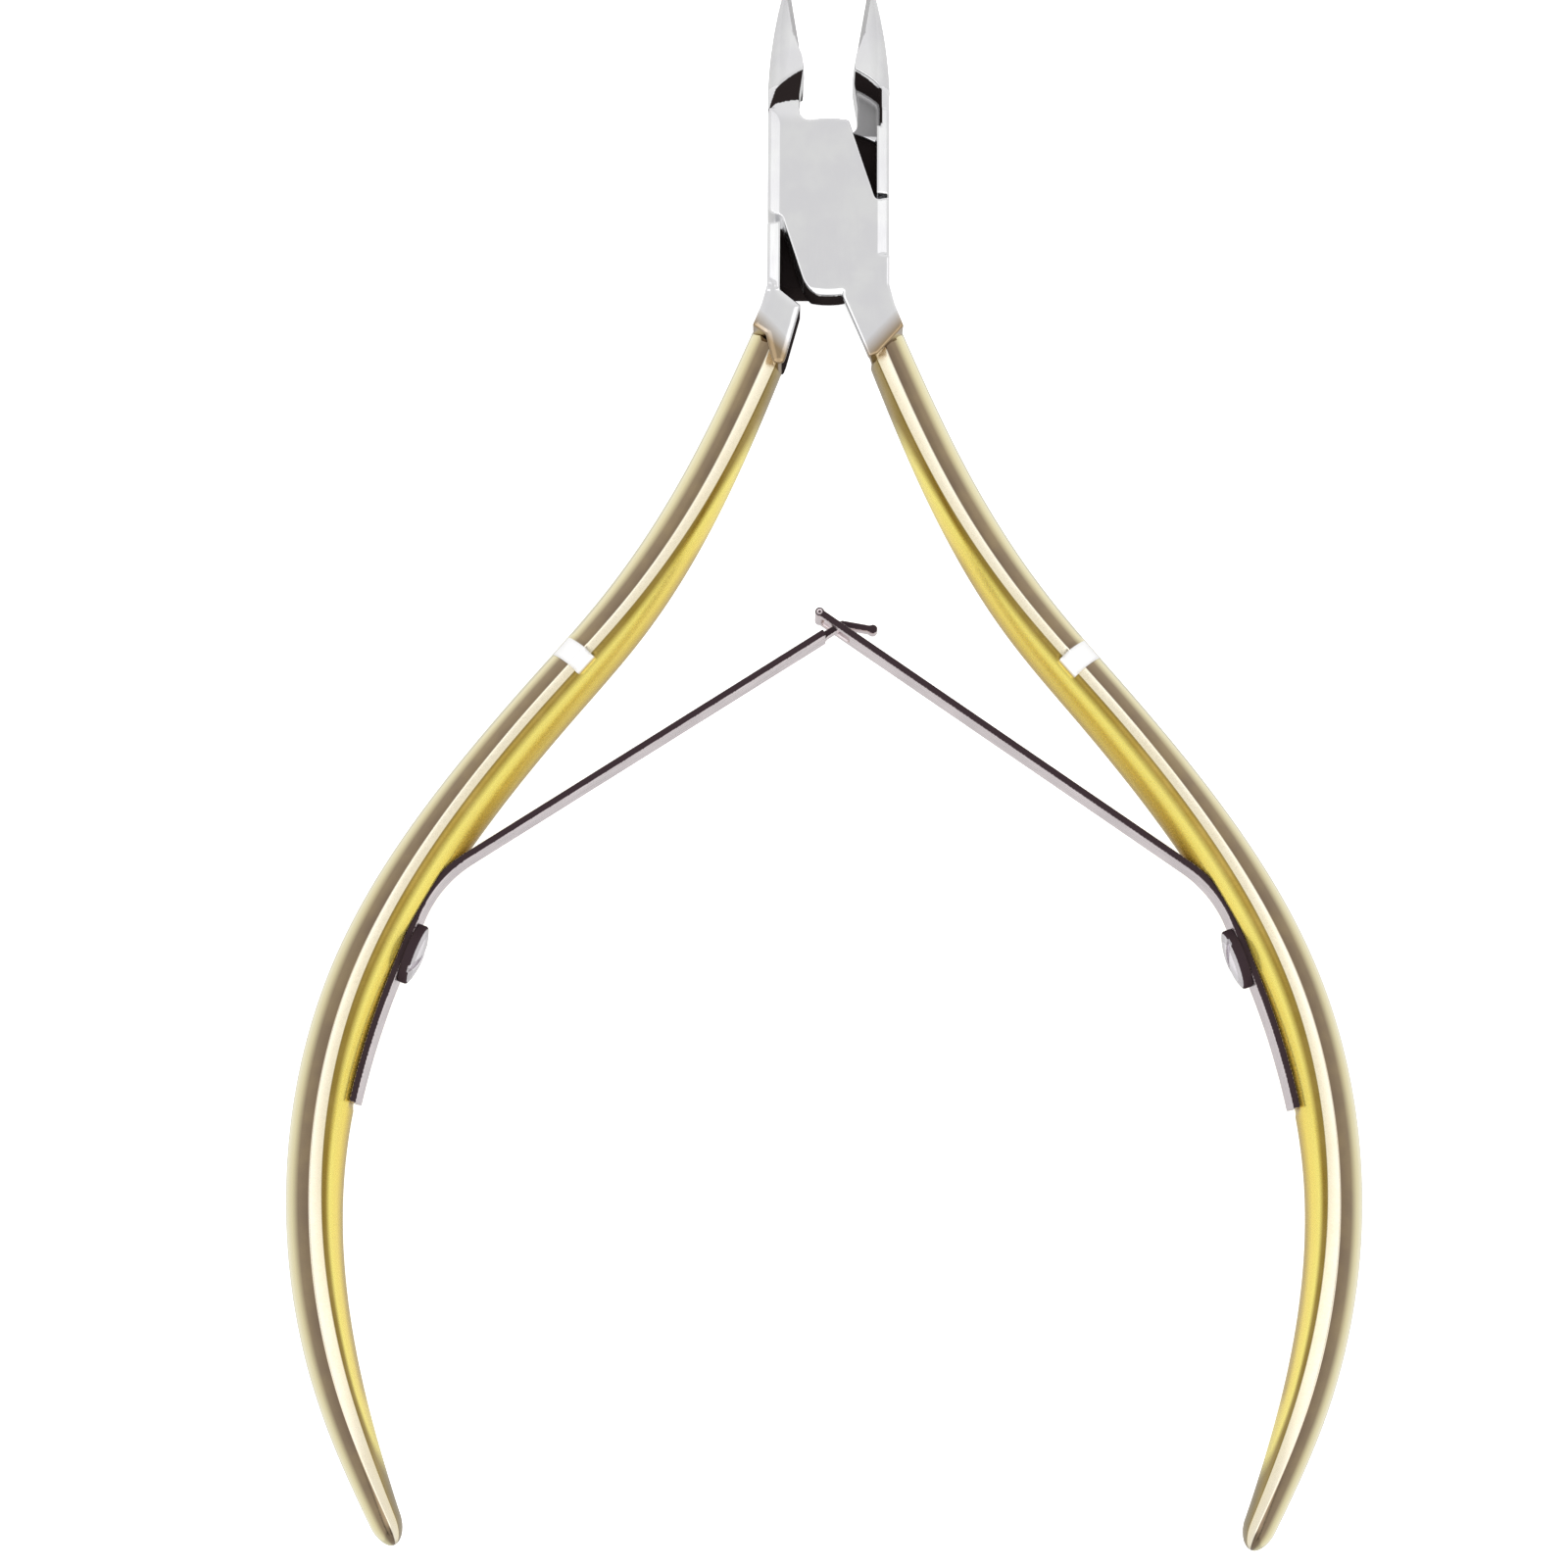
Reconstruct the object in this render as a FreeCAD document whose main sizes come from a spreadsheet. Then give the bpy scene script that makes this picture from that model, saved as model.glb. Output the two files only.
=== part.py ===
import FreeCAD, Part
import math
import os
import Sketcher

# Cuticle nipper: two forged halves crossing in a lap joint, opened by two leaf springs.
# Millimetres.  The nipper lies flat: the pivot is the Z axis, the jaws point to +Y, the handles to -Y.
# The origin is on the pivot axis, in the rear face of the joint, so z = 0 is what it rests on.
# Every half is drawn as the front half: left jaw, front lap, right handle.  The rear half is the
# same forging turned 180 degrees about the line x = 0, z = half the joint thickness.

Vector = FreeCAD.Vector
Placement = FreeCAD.Placement
Rotation = FreeCAD.Rotation

DIMENSIONS = {
    # how far a cutting block reaches past what it trims
    "cutter_reach": 20.0,
    # joint
    "joint_thickness": 6.0,
    "joint_half_width": 4.05,
    "lap_radius": 6.2,
    "rear_lap_foot": 4.6,
    "lap_gap": 0.05,
    "well_clearance": 0.12,
    "closing_angle": 18.0,
    "closing_clearance": 0.07,
    "flank_inner": 3.2,
    "flank_start": 1.0,
    "relief_ledge": 0.55,
    "side_chamfer": 0.7,
    # pivot screw
    "pivot_diameter": 3.0,
    "pivot_clearance": 0.04,
    "pivot_head_diameter": 4.6,
    "pivot_head_depth": 1.1,
    "slot_width": 0.6,
    "slot_depth": 0.5,
    # jaw
    "jaw_tip_x": 2.95,
    "jaw_tip_y": 16.8,
    "jaw_tip_height": 0.5,
    "jaw_back_radius": 40.0,
    "jaw_shoulder_y": 9.3,
    "edge_base_y": 10.4,
    "edge_end_y": 15.9,
    "edge_clearance": 0.03,
    "edge_base_height": 5.2,
    "neck_inner": 1.95,
    "neck_start": 4.6,
    "neck_height": 3.6,
    "ridge_angle": 36.0,
    "ridge_y": 8.0,
    "throat_start": 5.6,
    "throat_end": 8.6,
    # root of the handle, down to the plating line
    "root_outer_x": 4.35,
    "root_outer_y": 6.6,
    "root_inner_x": 1.8,
    "root_inner_y": 6.75,
    "root_shoulder_y": 5.6,
    "gusset_x": 0.95,
    "plating_outer_x": 5.0,
    "plating_outer_y": 7.9,
    "plating_inner_x": 2.75,
    "plating_inner_y": 10.3,
    # handle
    "chamfer_drop": 0.4,
    "tip_rounding": 1.3,
    "mark_radius": 1.0,
    "mark_depth": 0.35,
    "mark_x": 16.5,
    "mark_y": 30.0,
    "mark_heading": 41.0,
    "mark_reach": 4.0,
    # leaf spring
    "leaf_width": 3.0,
    "leaf_thickness": 0.45,
    "leaf_gap": 0.04,
    "leaf_screw_x": 27.1,
    "leaf_screw_y": 49.4,
    "leaf_base_heading": 20.5,
    "leaf_screw_land": 2.2,
    "leaf_base_length": 8.1,
    "leaf_base_radius": 50.0,
    "leaf_bend_radius": 8.0,
    "arm_slope": 33.7,
    "apex_y": 28.0,
    "hinge_gap": 0.06,
    "window_width": 1.5,
    "window_before": 1.1,
    "window_after": 0.75,
    "window_bar": 0.3,
    "tongue_width": 1.1,
    "tongue_before": 1.6,
    "tongue_after": 0.75,
    "tongue_reach": 2.0,
    "tongue_overlap": 0.1,
    "curl_radius": 0.3,
    # the leaf's seat in the handle
    "seat_lead": 8.0,
    "seat_arm_depth": 1.0,
    "seat_land_depth": 2.0,
    "seat_overrun": 1.0,
    # leaf screw
    "screw_head_diameter": 4.0,
    "screw_head_height": 0.95,
    "screw_shank_diameter": 1.6,
    "screw_shank_length": 3.3,
}

# Stations along the ridge of the handle.  x and down (depth below the pivot) place the ridge; outward,
# chamfer and inward are the distances from the ridge to the back, the chamfer's edge and the belly.
SIZES = ("x", "down", "outward", "chamfer", "inward", "half_height")
STATIONS = {
    "root": (2.95, 7.4, 1.75, 0.5, 1.0, 2.3),
    "neck": (8.3, 19.3, 1.88, 0.55, 1.45, 2.6),
    "shoulder": (13.4, 27.1, 1.8, 0.5, 1.95, 2.9),
    "waist": (18.0, 32.5, 1.7, 0.55, 2.15, 2.98),
    "elbow": (24.0, 40.1, 1.75, 0.55, 2.25, 2.98),
    "seat": (30.15, 51.2, 1.87, 0.65, 2.25, 2.98),
    "palm": (32.45, 64.5, 1.88, 0.75, 1.75, 2.98),
    "wrist": (30.35, 77.4, 1.7, 0.8, 1.3, 2.8),
    "finger": (26.7, 86.0, 1.5, 0.45, 0.5, 1.7),
}
LOFT_SECTIONS = 15
# Shares of the tip rounding at which the shrinking end sections lie, and the smallest of them
END_STEPS = (0.0, 0.45, 0.75, 0.93, 1.0)
END_STUB = 0.12
# Turns a profile drawn in (y, z) so that it is extruded along x
ALONG_X = Rotation(Vector(1, 1, 1), 120)


def build_sheet(doc):
    sheet = doc.addObject("Spreadsheet::Sheet", "dims")
    cells = list(DIMENSIONS.items())
    for station, values in STATIONS.items():
        cells += [(station + "_" + size, str(value)) for size, value in zip(SIZES, values)]
    for row, (alias, value) in enumerate(cells, start=1):
        sheet.set("A%d" % row, alias)
        sheet.set("B%d" % row, str(value))
        sheet.setAlias("B%d" % row, alias)
    doc.recompute()
    return sheet


def bind(obj, **expressions):
    """Tie properties of an object to the sheet; a double underscore stands for a dot."""
    for name, expression in expressions.items():
        obj.setExpression(name.replace("__", "."), expression)
    return obj


class Nipper:
    """The document, its sheet and the small set of operations that the parts are made with."""

    def __init__(self):
        self.doc = FreeCAD.newDocument("cuticle_nipper")
        self.sheet = build_sheet(self.doc)
        self.parts = []

    def size(self, alias):
        return float(self.sheet.get(alias))

    def add(self, kind, name, placement=None, **expressions):
        obj = self.doc.addObject(kind, name)
        if placement is not None:
            obj.Placement = placement
        return bind(obj, **expressions)

    def cut(self, name, base, tool):
        obj = self.doc.addObject("Part::Cut", name)
        obj.Base = base
        obj.Tool = tool
        return obj

    def fuse(self, name, shapes):
        obj = self.doc.addObject("Part::MultiFuse", name)
        obj.Shapes = shapes
        obj.Refine = True
        return obj

    def common(self, name, shapes):
        obj = self.doc.addObject("Part::MultiCommon", name)
        obj.Shapes = shapes
        return obj

    def outline(self, name, corners, arcs=None):
        """A closed sketch.  corners are pairs of expressions; arcs maps a side to (radius, bulge side)."""
        arcs = arcs or {}
        sketch = self.doc.addObject("Sketcher::SketchObject", name)
        values = [[self.evaluate(text) for text in corner] for corner in corners]
        points = [Vector(x, y, 0) for x, y in values]
        count = len(points)
        for side in range(count):
            start, end = points[side], points[(side + 1) % count]
            if side in arcs:
                radius, bulge = arcs[side]
                sketch.addGeometry(arc_between(start, end, self.evaluate(radius), bulge), False)
            else:
                sketch.addGeometry(Part.LineSegment(start, end), False)
        for side in range(count):
            start_pos, end_pos = ends_of(sketch.Geometry[side], points[side])
            next_start, _ = ends_of(sketch.Geometry[(side + 1) % count], points[(side + 1) % count])
            sketch.addConstraint(Sketcher.Constraint("Coincident", side, end_pos, (side + 1) % count, next_start))
            for kind, axis in (("DistanceX", 0), ("DistanceY", 1)):
                value = values[side][axis]
                index = sketch.addConstraint(Sketcher.Constraint(kind, -1, 1, side, start_pos, value))
                sketch.setExpression("Constraints[%d]" % index, corners[side][axis])
            if side in arcs:
                index = sketch.addConstraint(Sketcher.Constraint("Radius", side, self.evaluate(arcs[side][0])))
                sketch.setExpression("Constraints[%d]" % index, arcs[side][0])
        return sketch

    def evaluate(self, text):
        """The value of an expression over the sheet's cells."""
        result = self.sheet.evalExpression(text)
        return float(getattr(result, "Value", result))

    def extrude(self, name, sketch, low, high):
        """A solid from a sketch, between two heights given as expressions."""
        obj = self.doc.addObject("Part::Extrusion", name)
        obj.Base = sketch
        obj.DirMode = "Custom"
        obj.Dir = Vector(0, 0, 1)
        obj.Solid = True
        obj.setExpression("LengthFwd", "(%s) - (%s)" % (high, low))
        obj.setExpression("Placement.Base.z", low)
        return obj

    def node(self, obj, label):
        """Keep an object as a sub-part of its own."""
        obj.Label = label
        self.parts.append(obj)
        return obj


def arc_between(start, end, radius, bulge):
    """An arc of a given radius whose middle lies to the left (+1) or right (-1) of start to end."""
    chord = end - start
    half = chord.Length / 2.0
    side = Vector(-chord.y, chord.x, 0)
    side.normalize()
    sagitta = radius - math.sqrt(radius * radius - half * half)
    middle = (start + end) * 0.5 + side * (bulge * sagitta)
    return Part.Arc(start, middle, end)


def ends_of(geometry, start):
    """Which point numbers of a sketch side are its start and its end."""
    if geometry.StartPoint.distanceToPoint(start) < geometry.EndPoint.distanceToPoint(start):
        return 1, 2
    return 2, 1


MID = "dims.joint_thickness / 2"
LAP_FACE = "(dims.joint_thickness + dims.lap_gap) / 2"
HALF_CLOSING = "dims.closing_angle * 0.5 deg"


def turned(nip):
    """The half turn about the nipper's long axis that carries a front half to the rear half."""
    return Placement(Vector(0, 0, nip.size("joint_thickness")), Rotation(Vector(0, 1, 0), 180))


def build_lap(nip, side):
    """The flat disc of one half's lap, with the two wedges that the other half's flanks close into."""
    disc = nip.add("Part::Cylinder", side + "_lap_disc", Radius="dims.lap_radius",
                   Height="(dims.joint_thickness - dims.lap_gap) / 2", Placement__Base__z=LAP_FACE)
    foot = "dims.lap_radius" if side == "front" else "dims.rear_lap_foot"
    band = nip.add("Part::Box", side + "_lap_band", Length="2 * dims.joint_half_width",
                   Width=foot + " + dims.lap_radius", Height="dims.joint_thickness",
                   Placement__Base__x="-dims.joint_half_width", Placement__Base__y="-(%s)" % foot)
    plate = nip.common(side + "_lap_plate", [disc, band])
    closing = nip.size("closing_angle")
    wall = nip.size("flank_inner") - nip.size("closing_clearance")
    ledge = (nip.size("relief_ledge") * math.cos(math.radians(closing))
             - nip.size("flank_inner") * math.sin(math.radians(closing)))
    for name, half_turn in (("_jaw_relief", 0), ("_root_relief", 180)):
        place = Placement(Vector(0, 0, nip.size("joint_thickness") / 2), Rotation(Vector(0, 0, 1), closing + half_turn))
        place = place.multiply(Placement(Vector(wall, ledge, 0), Rotation()))
        wedge = nip.add("Part::Box", side + name, place, Length="dims.joint_half_width",
                        Width="dims.lap_radius + dims.flank_inner", Height="dims.joint_thickness")
        plate = nip.cut(side + name + "_cut", plate, wedge)
    return plate


def build_flanks(nip, side):
    """The two full-depth cheeks that stand beside the other half's lap."""
    width = "dims.joint_half_width - dims.flank_inner"
    depth = LAP_FACE + " + dims.lap_gap"
    root_flank = nip.add("Part::Box", side + "_root_flank", Length=width,
                         Width="dims.root_shoulder_y - dims.flank_start", Height=depth,
                         Placement__Base__x="dims.flank_inner", Placement__Base__y="-dims.root_shoulder_y")
    jaw_flank = nip.add("Part::Box", side + "_jaw_flank", Length=width,
                        Width="dims.root_shoulder_y - dims.flank_start", Height=depth,
                        Placement__Base__x="-dims.joint_half_width", Placement__Base__y="dims.flank_start")
    return [root_flank, jaw_flank]


def build_neck(nip, side):
    """The waist between lap and jaw, scooped front and back."""
    far = "dims.ridge_y + dims.side_chamfer"
    low = MID + " - dims.neck_height / 2"
    high = MID + " + dims.neck_height / 2"
    profile = nip.outline(side + "_neck_profile", [
        ("dims.neck_start", "0"), ("dims.throat_start", "0"), ("dims.throat_end", low), (far, low),
        (far, high), ("dims.throat_end", high), ("dims.throat_start", "dims.joint_thickness"),
        ("dims.neck_start", "dims.joint_thickness")])
    neck = nip.extrude(side + "_neck_block", profile, "0", "dims.joint_half_width - dims.neck_inner")
    neck.Placement.Rotation = ALONG_X
    neck.setExpression("Placement.Base.z", None)
    neck.setExpression("Placement.Base.x", "-dims.joint_half_width")
    return neck


def build_jaw(nip, side):
    """The blade: its plan, thinned front and back by a bevel that falls from the ridge to the edge."""
    edge = "-(%s * tan(" + HALF_CLOSING + ") + dims.edge_clearance)"
    inner_ridge_y = "dims.ridge_y + (dims.joint_half_width - dims.neck_inner) * tan(dims.ridge_angle * 1 deg)"
    plan = nip.outline(side + "_jaw_plan", [
        ("-dims.joint_half_width", "dims.ridge_y"), ("-dims.neck_inner", inner_ridge_y),
        (edge % "dims.edge_base_y", "dims.edge_base_y"), (edge % "dims.edge_end_y", "dims.edge_end_y"),
        ("-dims.jaw_tip_x", "dims.jaw_tip_y"), ("-dims.joint_half_width", "dims.jaw_shoulder_y")],
        arcs={4: ("dims.jaw_back_radius", -1)})
    jaw = nip.extrude(side + "_jaw_block", plan, "0", "dims.joint_thickness")
    thickness = nip.size("joint_thickness")
    ridge = Vector(-nip.size("joint_half_width"), nip.size("ridge_y"), thickness)
    edge_start = Vector(nip.evaluate(edge % "dims.edge_base_y"), nip.size("edge_base_y"),
                        (thickness + nip.size("edge_base_height")) / 2)
    tip = Vector(-nip.size("jaw_tip_x"), nip.size("jaw_tip_y"), (thickness + nip.size("jaw_tip_height")) / 2)
    normal = (edge_start - ridge).cross(tip - ridge)
    reach = nip.size("cutter_reach")
    for name, flip in (("_front_bevel", 1), ("_back_bevel", -1)):
        facing = Vector(normal.x, normal.y, normal.z * flip)
        point = Vector(ridge.x, ridge.y, thickness / 2 + flip * thickness / 2)
        place = Placement(point, Rotation(Vector(0, 0, 1), facing))
        place = place.multiply(Placement(Vector(-reach, -reach, 0), Rotation()))
        bevel = nip.add("Part::Box", side + name, place, Length="2 * dims.cutter_reach",
                        Width="2 * dims.cutter_reach", Height="dims.joint_thickness")
        jaw = nip.cut(side + name + "_cut", jaw, bevel)
    return jaw


def build_root(nip, side):
    """The steel root of the handle, from the lap down to the line where the plating starts."""
    plan = nip.outline(side + "_root_plan", [
        ("dims.flank_inner", "-dims.flank_inner"), ("dims.flank_inner", "-dims.root_shoulder_y"),
        ("dims.root_inner_x", "-dims.root_inner_y"), ("dims.plating_inner_x", "-dims.plating_inner_y"),
        ("dims.plating_outer_x", "-dims.plating_outer_y"), ("dims.root_outer_x", "-dims.root_outer_y"),
        ("dims.joint_half_width", "-dims.root_shoulder_y + dims.side_chamfer"),
        ("dims.joint_half_width", "-dims.flank_inner")])
    return nip.extrude(side + "_root_block", plan, "0", "dims.joint_thickness")


def build_gusset(nip):
    """The web that widens the front lap into the right handle's root."""
    plan = nip.outline("front_gusset_plan", [
        ("dims.gusset_x", "-dims.rear_lap_foot"), ("dims.gusset_x", "-dims.lap_radius"),
        ("dims.plating_inner_x", "-dims.plating_inner_y"), ("dims.flank_inner", "-dims.rear_lap_foot")])
    return nip.extrude("front_gusset", plan, LAP_FACE, "dims.joint_thickness")


def build_side_chamfers(nip, side):
    """Four long bars that take the corners off the joint and the jaw."""
    bars = []
    for name, x_sign, z_face in (("a", -1, 0), ("b", 1, 0), ("c", -1, 1), ("d", 1, 1)):
        corner = Vector(x_sign * nip.size("joint_half_width"), -nip.size("root_shoulder_y"),
                        z_face * nip.size("joint_thickness"))
        width = nip.size("side_chamfer") * math.sqrt(2)
        place = Placement(corner, Rotation(Vector(0, 1, 0), 45))
        place = place.multiply(Placement(Vector(-width / 2, 0, -width / 2), Rotation()))
        bars.append(nip.add("Part::Box", side + "_chamfer_" + name, place,
                            Length="dims.side_chamfer * sqrt(2)", Height="dims.side_chamfer * sqrt(2)",
                            Width="dims.root_shoulder_y + dims.jaw_tip_y"))
    return nip.fuse(side + "_chamfer_bars", bars)


def build_head(nip, side):
    """The steel part of one half: jaw, neck, lap, flanks and root, bored for the pivot screw."""
    full_depth = nip.fuse(side + "_full_depth", [build_neck(nip, side), build_root(nip, side)])
    well = nip.add("Part::Cylinder", side + "_well", Radius="dims.lap_radius + dims.well_clearance",
                   Height=LAP_FACE)
    blocks = [nip.cut(side + "_well_cut", full_depth, well), build_jaw(nip, side), build_lap(nip, side)]
    blocks += build_flanks(nip, side)
    if side == "front":
        blocks.append(build_gusset(nip))
    body = nip.cut(side + "_trimmed", nip.fuse(side + "_body", blocks), build_side_chamfers(nip, side))
    clearance = "0" if side == "front" else "dims.pivot_clearance"
    bore = nip.add("Part::Cylinder", side + "_pivot_bore", Radius="dims.pivot_diameter / 2 + " + clearance,
                   Height="dims.joint_thickness")
    head = nip.cut(side + "_head", body, bore)
    if side == "rear":
        countersink = nip.add("Part::Cone", "rear_countersink",
                              Radius1="dims.pivot_diameter / 2 + dims.pivot_clearance",
                              Radius2="dims.pivot_head_diameter / 2 + dims.pivot_clearance",
                              Height="dims.pivot_head_depth",
                              Placement__Base__z="dims.joint_thickness - dims.pivot_head_depth")
        head = nip.cut("rear_head_countersunk", head, countersink)
        head.Placement = turned(nip)
    return nip.node(head, side + "_half_head")


def build_pivot_screw(nip):
    """A countersunk screw, slotted at the rear and ground flush with the front face."""
    shank = nip.add("Part::Cylinder", "pivot_shank", Radius="dims.pivot_diameter / 2",
                    Height="dims.joint_thickness")
    head = nip.add("Part::Cone", "pivot_head", Radius1="dims.pivot_head_diameter / 2",
                   Radius2="dims.pivot_diameter / 2", Height="dims.pivot_head_depth")
    slot = nip.add("Part::Box", "pivot_slot", Length="dims.pivot_head_diameter + 1", Width="dims.slot_width",
                   Height="dims.slot_depth", Placement__Base__x="-(dims.pivot_head_diameter + 1) / 2",
                   Placement__Base__y="-dims.slot_width / 2")
    return nip.node(nip.cut("pivot_slotted", nip.fuse("pivot_blank", [shank, head]), slot), "pivot_screw")


def handle_forging(nip):
    """The bent handle: a pointed-oval section carried along the ridge line and rounded off at its end."""
    rows = [[nip.size(station + "_" + size) for size in SIZES] for station in STATIONS]
    mid = nip.size("joint_thickness") / 2
    drop = nip.size("chamfer_drop")
    points = [Vector(row[0], -row[1], 0) for row in rows]
    path = Part.BSplineCurve()
    path.interpolate(points)
    places = [path.parameter(point) for point in points]
    widths = Part.BSplineCurve()
    widths.interpolate(Points=[Vector(row[2], row[3], row[4]) for row in rows], Parameters=places)
    heights = Part.BSplineCurve()
    heights.interpolate(Points=[Vector(row[5], 0, place) for row, place in zip(rows, places)], Parameters=places)

    def section(place, shrink):
        ridge = path.value(place)
        along = path.tangent(place)[0]
        outward = Vector(-along.y, along.x, 0)
        back, chamfer, belly = widths.value(place)
        half_height = heights.value(place).x
        centre = (back - belly) / 2

        def at(offset, height):
            spot = ridge + outward * (centre + (offset - centre) * shrink)
            return Vector(spot.x, spot.y, mid + height * shrink)

        crest, hollow = at(0, half_height), at(0, -half_height)
        lip, low_lip = at(-chamfer, half_height - drop), at(-chamfer, drop - half_height)
        return Part.Wire([
            Part.Arc(crest, at(back, 0), hollow).toShape(), Part.makeLine(hollow, low_lip),
            Part.Arc(low_lip, at(-belly, 0), lip).toShape(), Part.makeLine(lip, crest)])

    rounding = nip.size("tip_rounding")
    spots = path.discretize(Number=LOFT_SECTIONS)
    sections = [section(path.parameter(spot), 1.0) for spot in spots[:-1]]
    end = path.parameterAtDistance(-rounding, path.LastParameter)
    for step in END_STEPS:
        place = end + (path.LastParameter - end) * step
        sections.append(section(place, max(math.sqrt(1 - step * step), END_STUB)))
    return Part.makeLoft(sections, True, False)


def build_handle(nip, side, label):
    """One gold-plated handle, with the leaf's seat, the screw hole and the two bright marks."""
    forging = nip.doc.addObject("Part::Feature", side + "_handle_forging")
    forging.Shape = handle_forging(nip)
    mid = nip.size("joint_thickness") / 2
    inner = Vector(nip.size("plating_inner_x"), -nip.size("plating_inner_y"), 0)
    outer = Vector(nip.size("plating_outer_x"), -nip.size("plating_outer_y"), 0)
    turn = math.degrees(math.atan2(outer.y - inner.y, outer.x - inner.x))
    place = Placement(inner, Rotation(Vector(0, 0, 1), turn))
    place = place.multiply(Placement(Vector(-nip.size("cutter_reach") / 2, 0, 0), Rotation()))
    above = nip.add("Part::Box", side + "_plating_line", place, Length="dims.cutter_reach",
                    Width="dims.cutter_reach", Height="dims.joint_thickness")
    tools = [above] + leaf_seat(nip, side) + [screw_hole(nip, side)]
    heading = math.radians(nip.size("mark_heading"))
    across = Vector(math.cos(heading), math.sin(heading), 0)
    for name, facing in (("_front_mark", 1), ("_back_mark", -1)):
        height = nip.size("waist_half_height") + nip.size("mark_radius") - nip.size("mark_depth")
        spot = Vector(nip.size("mark_x"), -nip.size("mark_y"), mid + facing * height)
        place = Placement(spot - across * nip.size("mark_reach"), Rotation(Vector(0, 0, 1), across))
        tools.append(nip.add("Part::Cylinder", side + name, place, Radius="dims.mark_radius",
                             Height="2 * dims.mark_reach"))
    handle = nip.cut(side + "_handle", forging, nip.fuse(side + "_handle_tools", tools))
    if side == "rear":
        handle.Placement = turned(nip)
    return nip.node(handle, label)


class LeafLine:
    """Where the leaf spring runs on the right side, worked out from its angles and its screw."""

    def __init__(self, nip):
        slope = math.radians(nip.size("arm_slope"))
        heading = math.radians(nip.size("leaf_base_heading"))
        self.arm = Vector(math.cos(slope), -math.sin(slope), 0)
        self.base = Vector(math.sin(heading), -math.cos(heading), 0)
        self.apex = Vector(0, -nip.size("apex_y"), 0)
        self.screw = Vector(nip.size("leaf_screw_x"), -nip.size("leaf_screw_y"), 0)
        gap = self.screw - self.apex
        self.turn = math.degrees(math.acos(self.arm.dot(self.base)))
        along_arm = (gap.x * self.base.y - gap.y * self.base.x) / (self.arm.x * self.base.y - self.arm.y * self.base.x)
        corner = self.apex + self.arm * along_arm
        tangent = nip.size("leaf_bend_radius") * math.tan(math.radians(self.turn / 2))
        self.bend_start = corner - self.arm * tangent
        self.bend_end = corner + self.base * tangent
        self.land_end = self.screw + self.base * nip.size("leaf_screw_land")
        self.outward = Vector(-self.base.y, self.base.x, 0)


def angle_of(direction):
    return math.degrees(math.atan2(direction.y, direction.x))


def strip(nip, name, start, direction, length, width="dims.leaf_width", extra="0", inward="0"):
    """A straight run of leaf; extra thickens it outwards and inward thickens it inwards."""
    thickness = "dims.leaf_thickness + %s + %s" % (extra, inward)
    mid = nip.size("joint_thickness") / 2
    place = Placement(start, Rotation(Vector(0, 0, 1), angle_of(direction)))
    low = -nip.size("leaf_thickness") / 2 - nip.evaluate(inward)
    place = place.multiply(Placement(Vector(0, low, mid - nip.evaluate(width) / 2), Rotation()))
    box = nip.add("Part::Box", name, place, Width=thickness, Height=width)
    box.Length = length
    return box


def leaf_bend(nip, name, radius, start, direction, turn, width="dims.leaf_width", extra="0", solid=False):
    """A bent run of leaf that turns towards the inside; solid leaves the whole sector, for a cutter."""
    mid = nip.size("joint_thickness") / 2
    inside = Vector(direction.y, -direction.x, 0)
    centre = start + inside * nip.size(radius)
    first = angle_of(start - centre) - turn
    place = Placement(Vector(centre.x, centre.y, mid - nip.evaluate(width) / 2), Rotation(Vector(0, 0, 1), first))
    outer = nip.add("Part::Cylinder", name + "_outer", place, Height=width,
                    Radius="dims.%s + dims.leaf_thickness / 2 + %s" % (radius, extra))
    outer.Angle = turn
    if solid:
        return outer
    inner = nip.add("Part::Cylinder", name + "_inner", place, Height=width,
                    Radius="dims.%s - dims.leaf_thickness / 2" % radius)
    inner.Angle = 360
    return nip.cut(name, outer, inner)


def base_turn(nip):
    return math.degrees(nip.size("leaf_base_length") / nip.size("leaf_base_radius"))


def leaf_seat(nip, side):
    """Cutters that leave a flat seat for the leaf on the handle's belly."""
    line = LeafLine(nip)
    width = "dims.leaf_width + 4 * dims.leaf_gap"
    land = (line.land_end - line.bend_end).Length
    lead = nip.size("seat_lead")
    extra = "dims.leaf_gap"
    return [
        strip(nip, side + "_seat_arm", line.bend_start - line.arm * lead, line.arm, lead, width, extra,
              "dims.seat_arm_depth"),
        leaf_bend(nip, side + "_seat_bend", "leaf_bend_radius", line.bend_start, line.arm, line.turn,
                  width, extra, solid=True),
        strip(nip, side + "_seat_land", line.bend_end, line.base, land, width, extra, "dims.seat_land_depth"),
        leaf_bend(nip, side + "_seat_base", "leaf_base_radius", line.land_end, line.base,
                  base_turn(nip) + nip.size("seat_overrun"), width, extra, solid=True)]


def screw_hole(nip, side):
    line = LeafLine(nip)
    place = Placement(line.screw + Vector(0, 0, nip.size("joint_thickness") / 2),
                      Rotation(Vector(0, 0, 1), line.outward))
    return nip.add("Part::Cylinder", side + "_screw_hole", place, Radius="dims.screw_shank_diameter / 2",
                   Height="dims.screw_shank_length - dims.leaf_thickness / 2")


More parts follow.
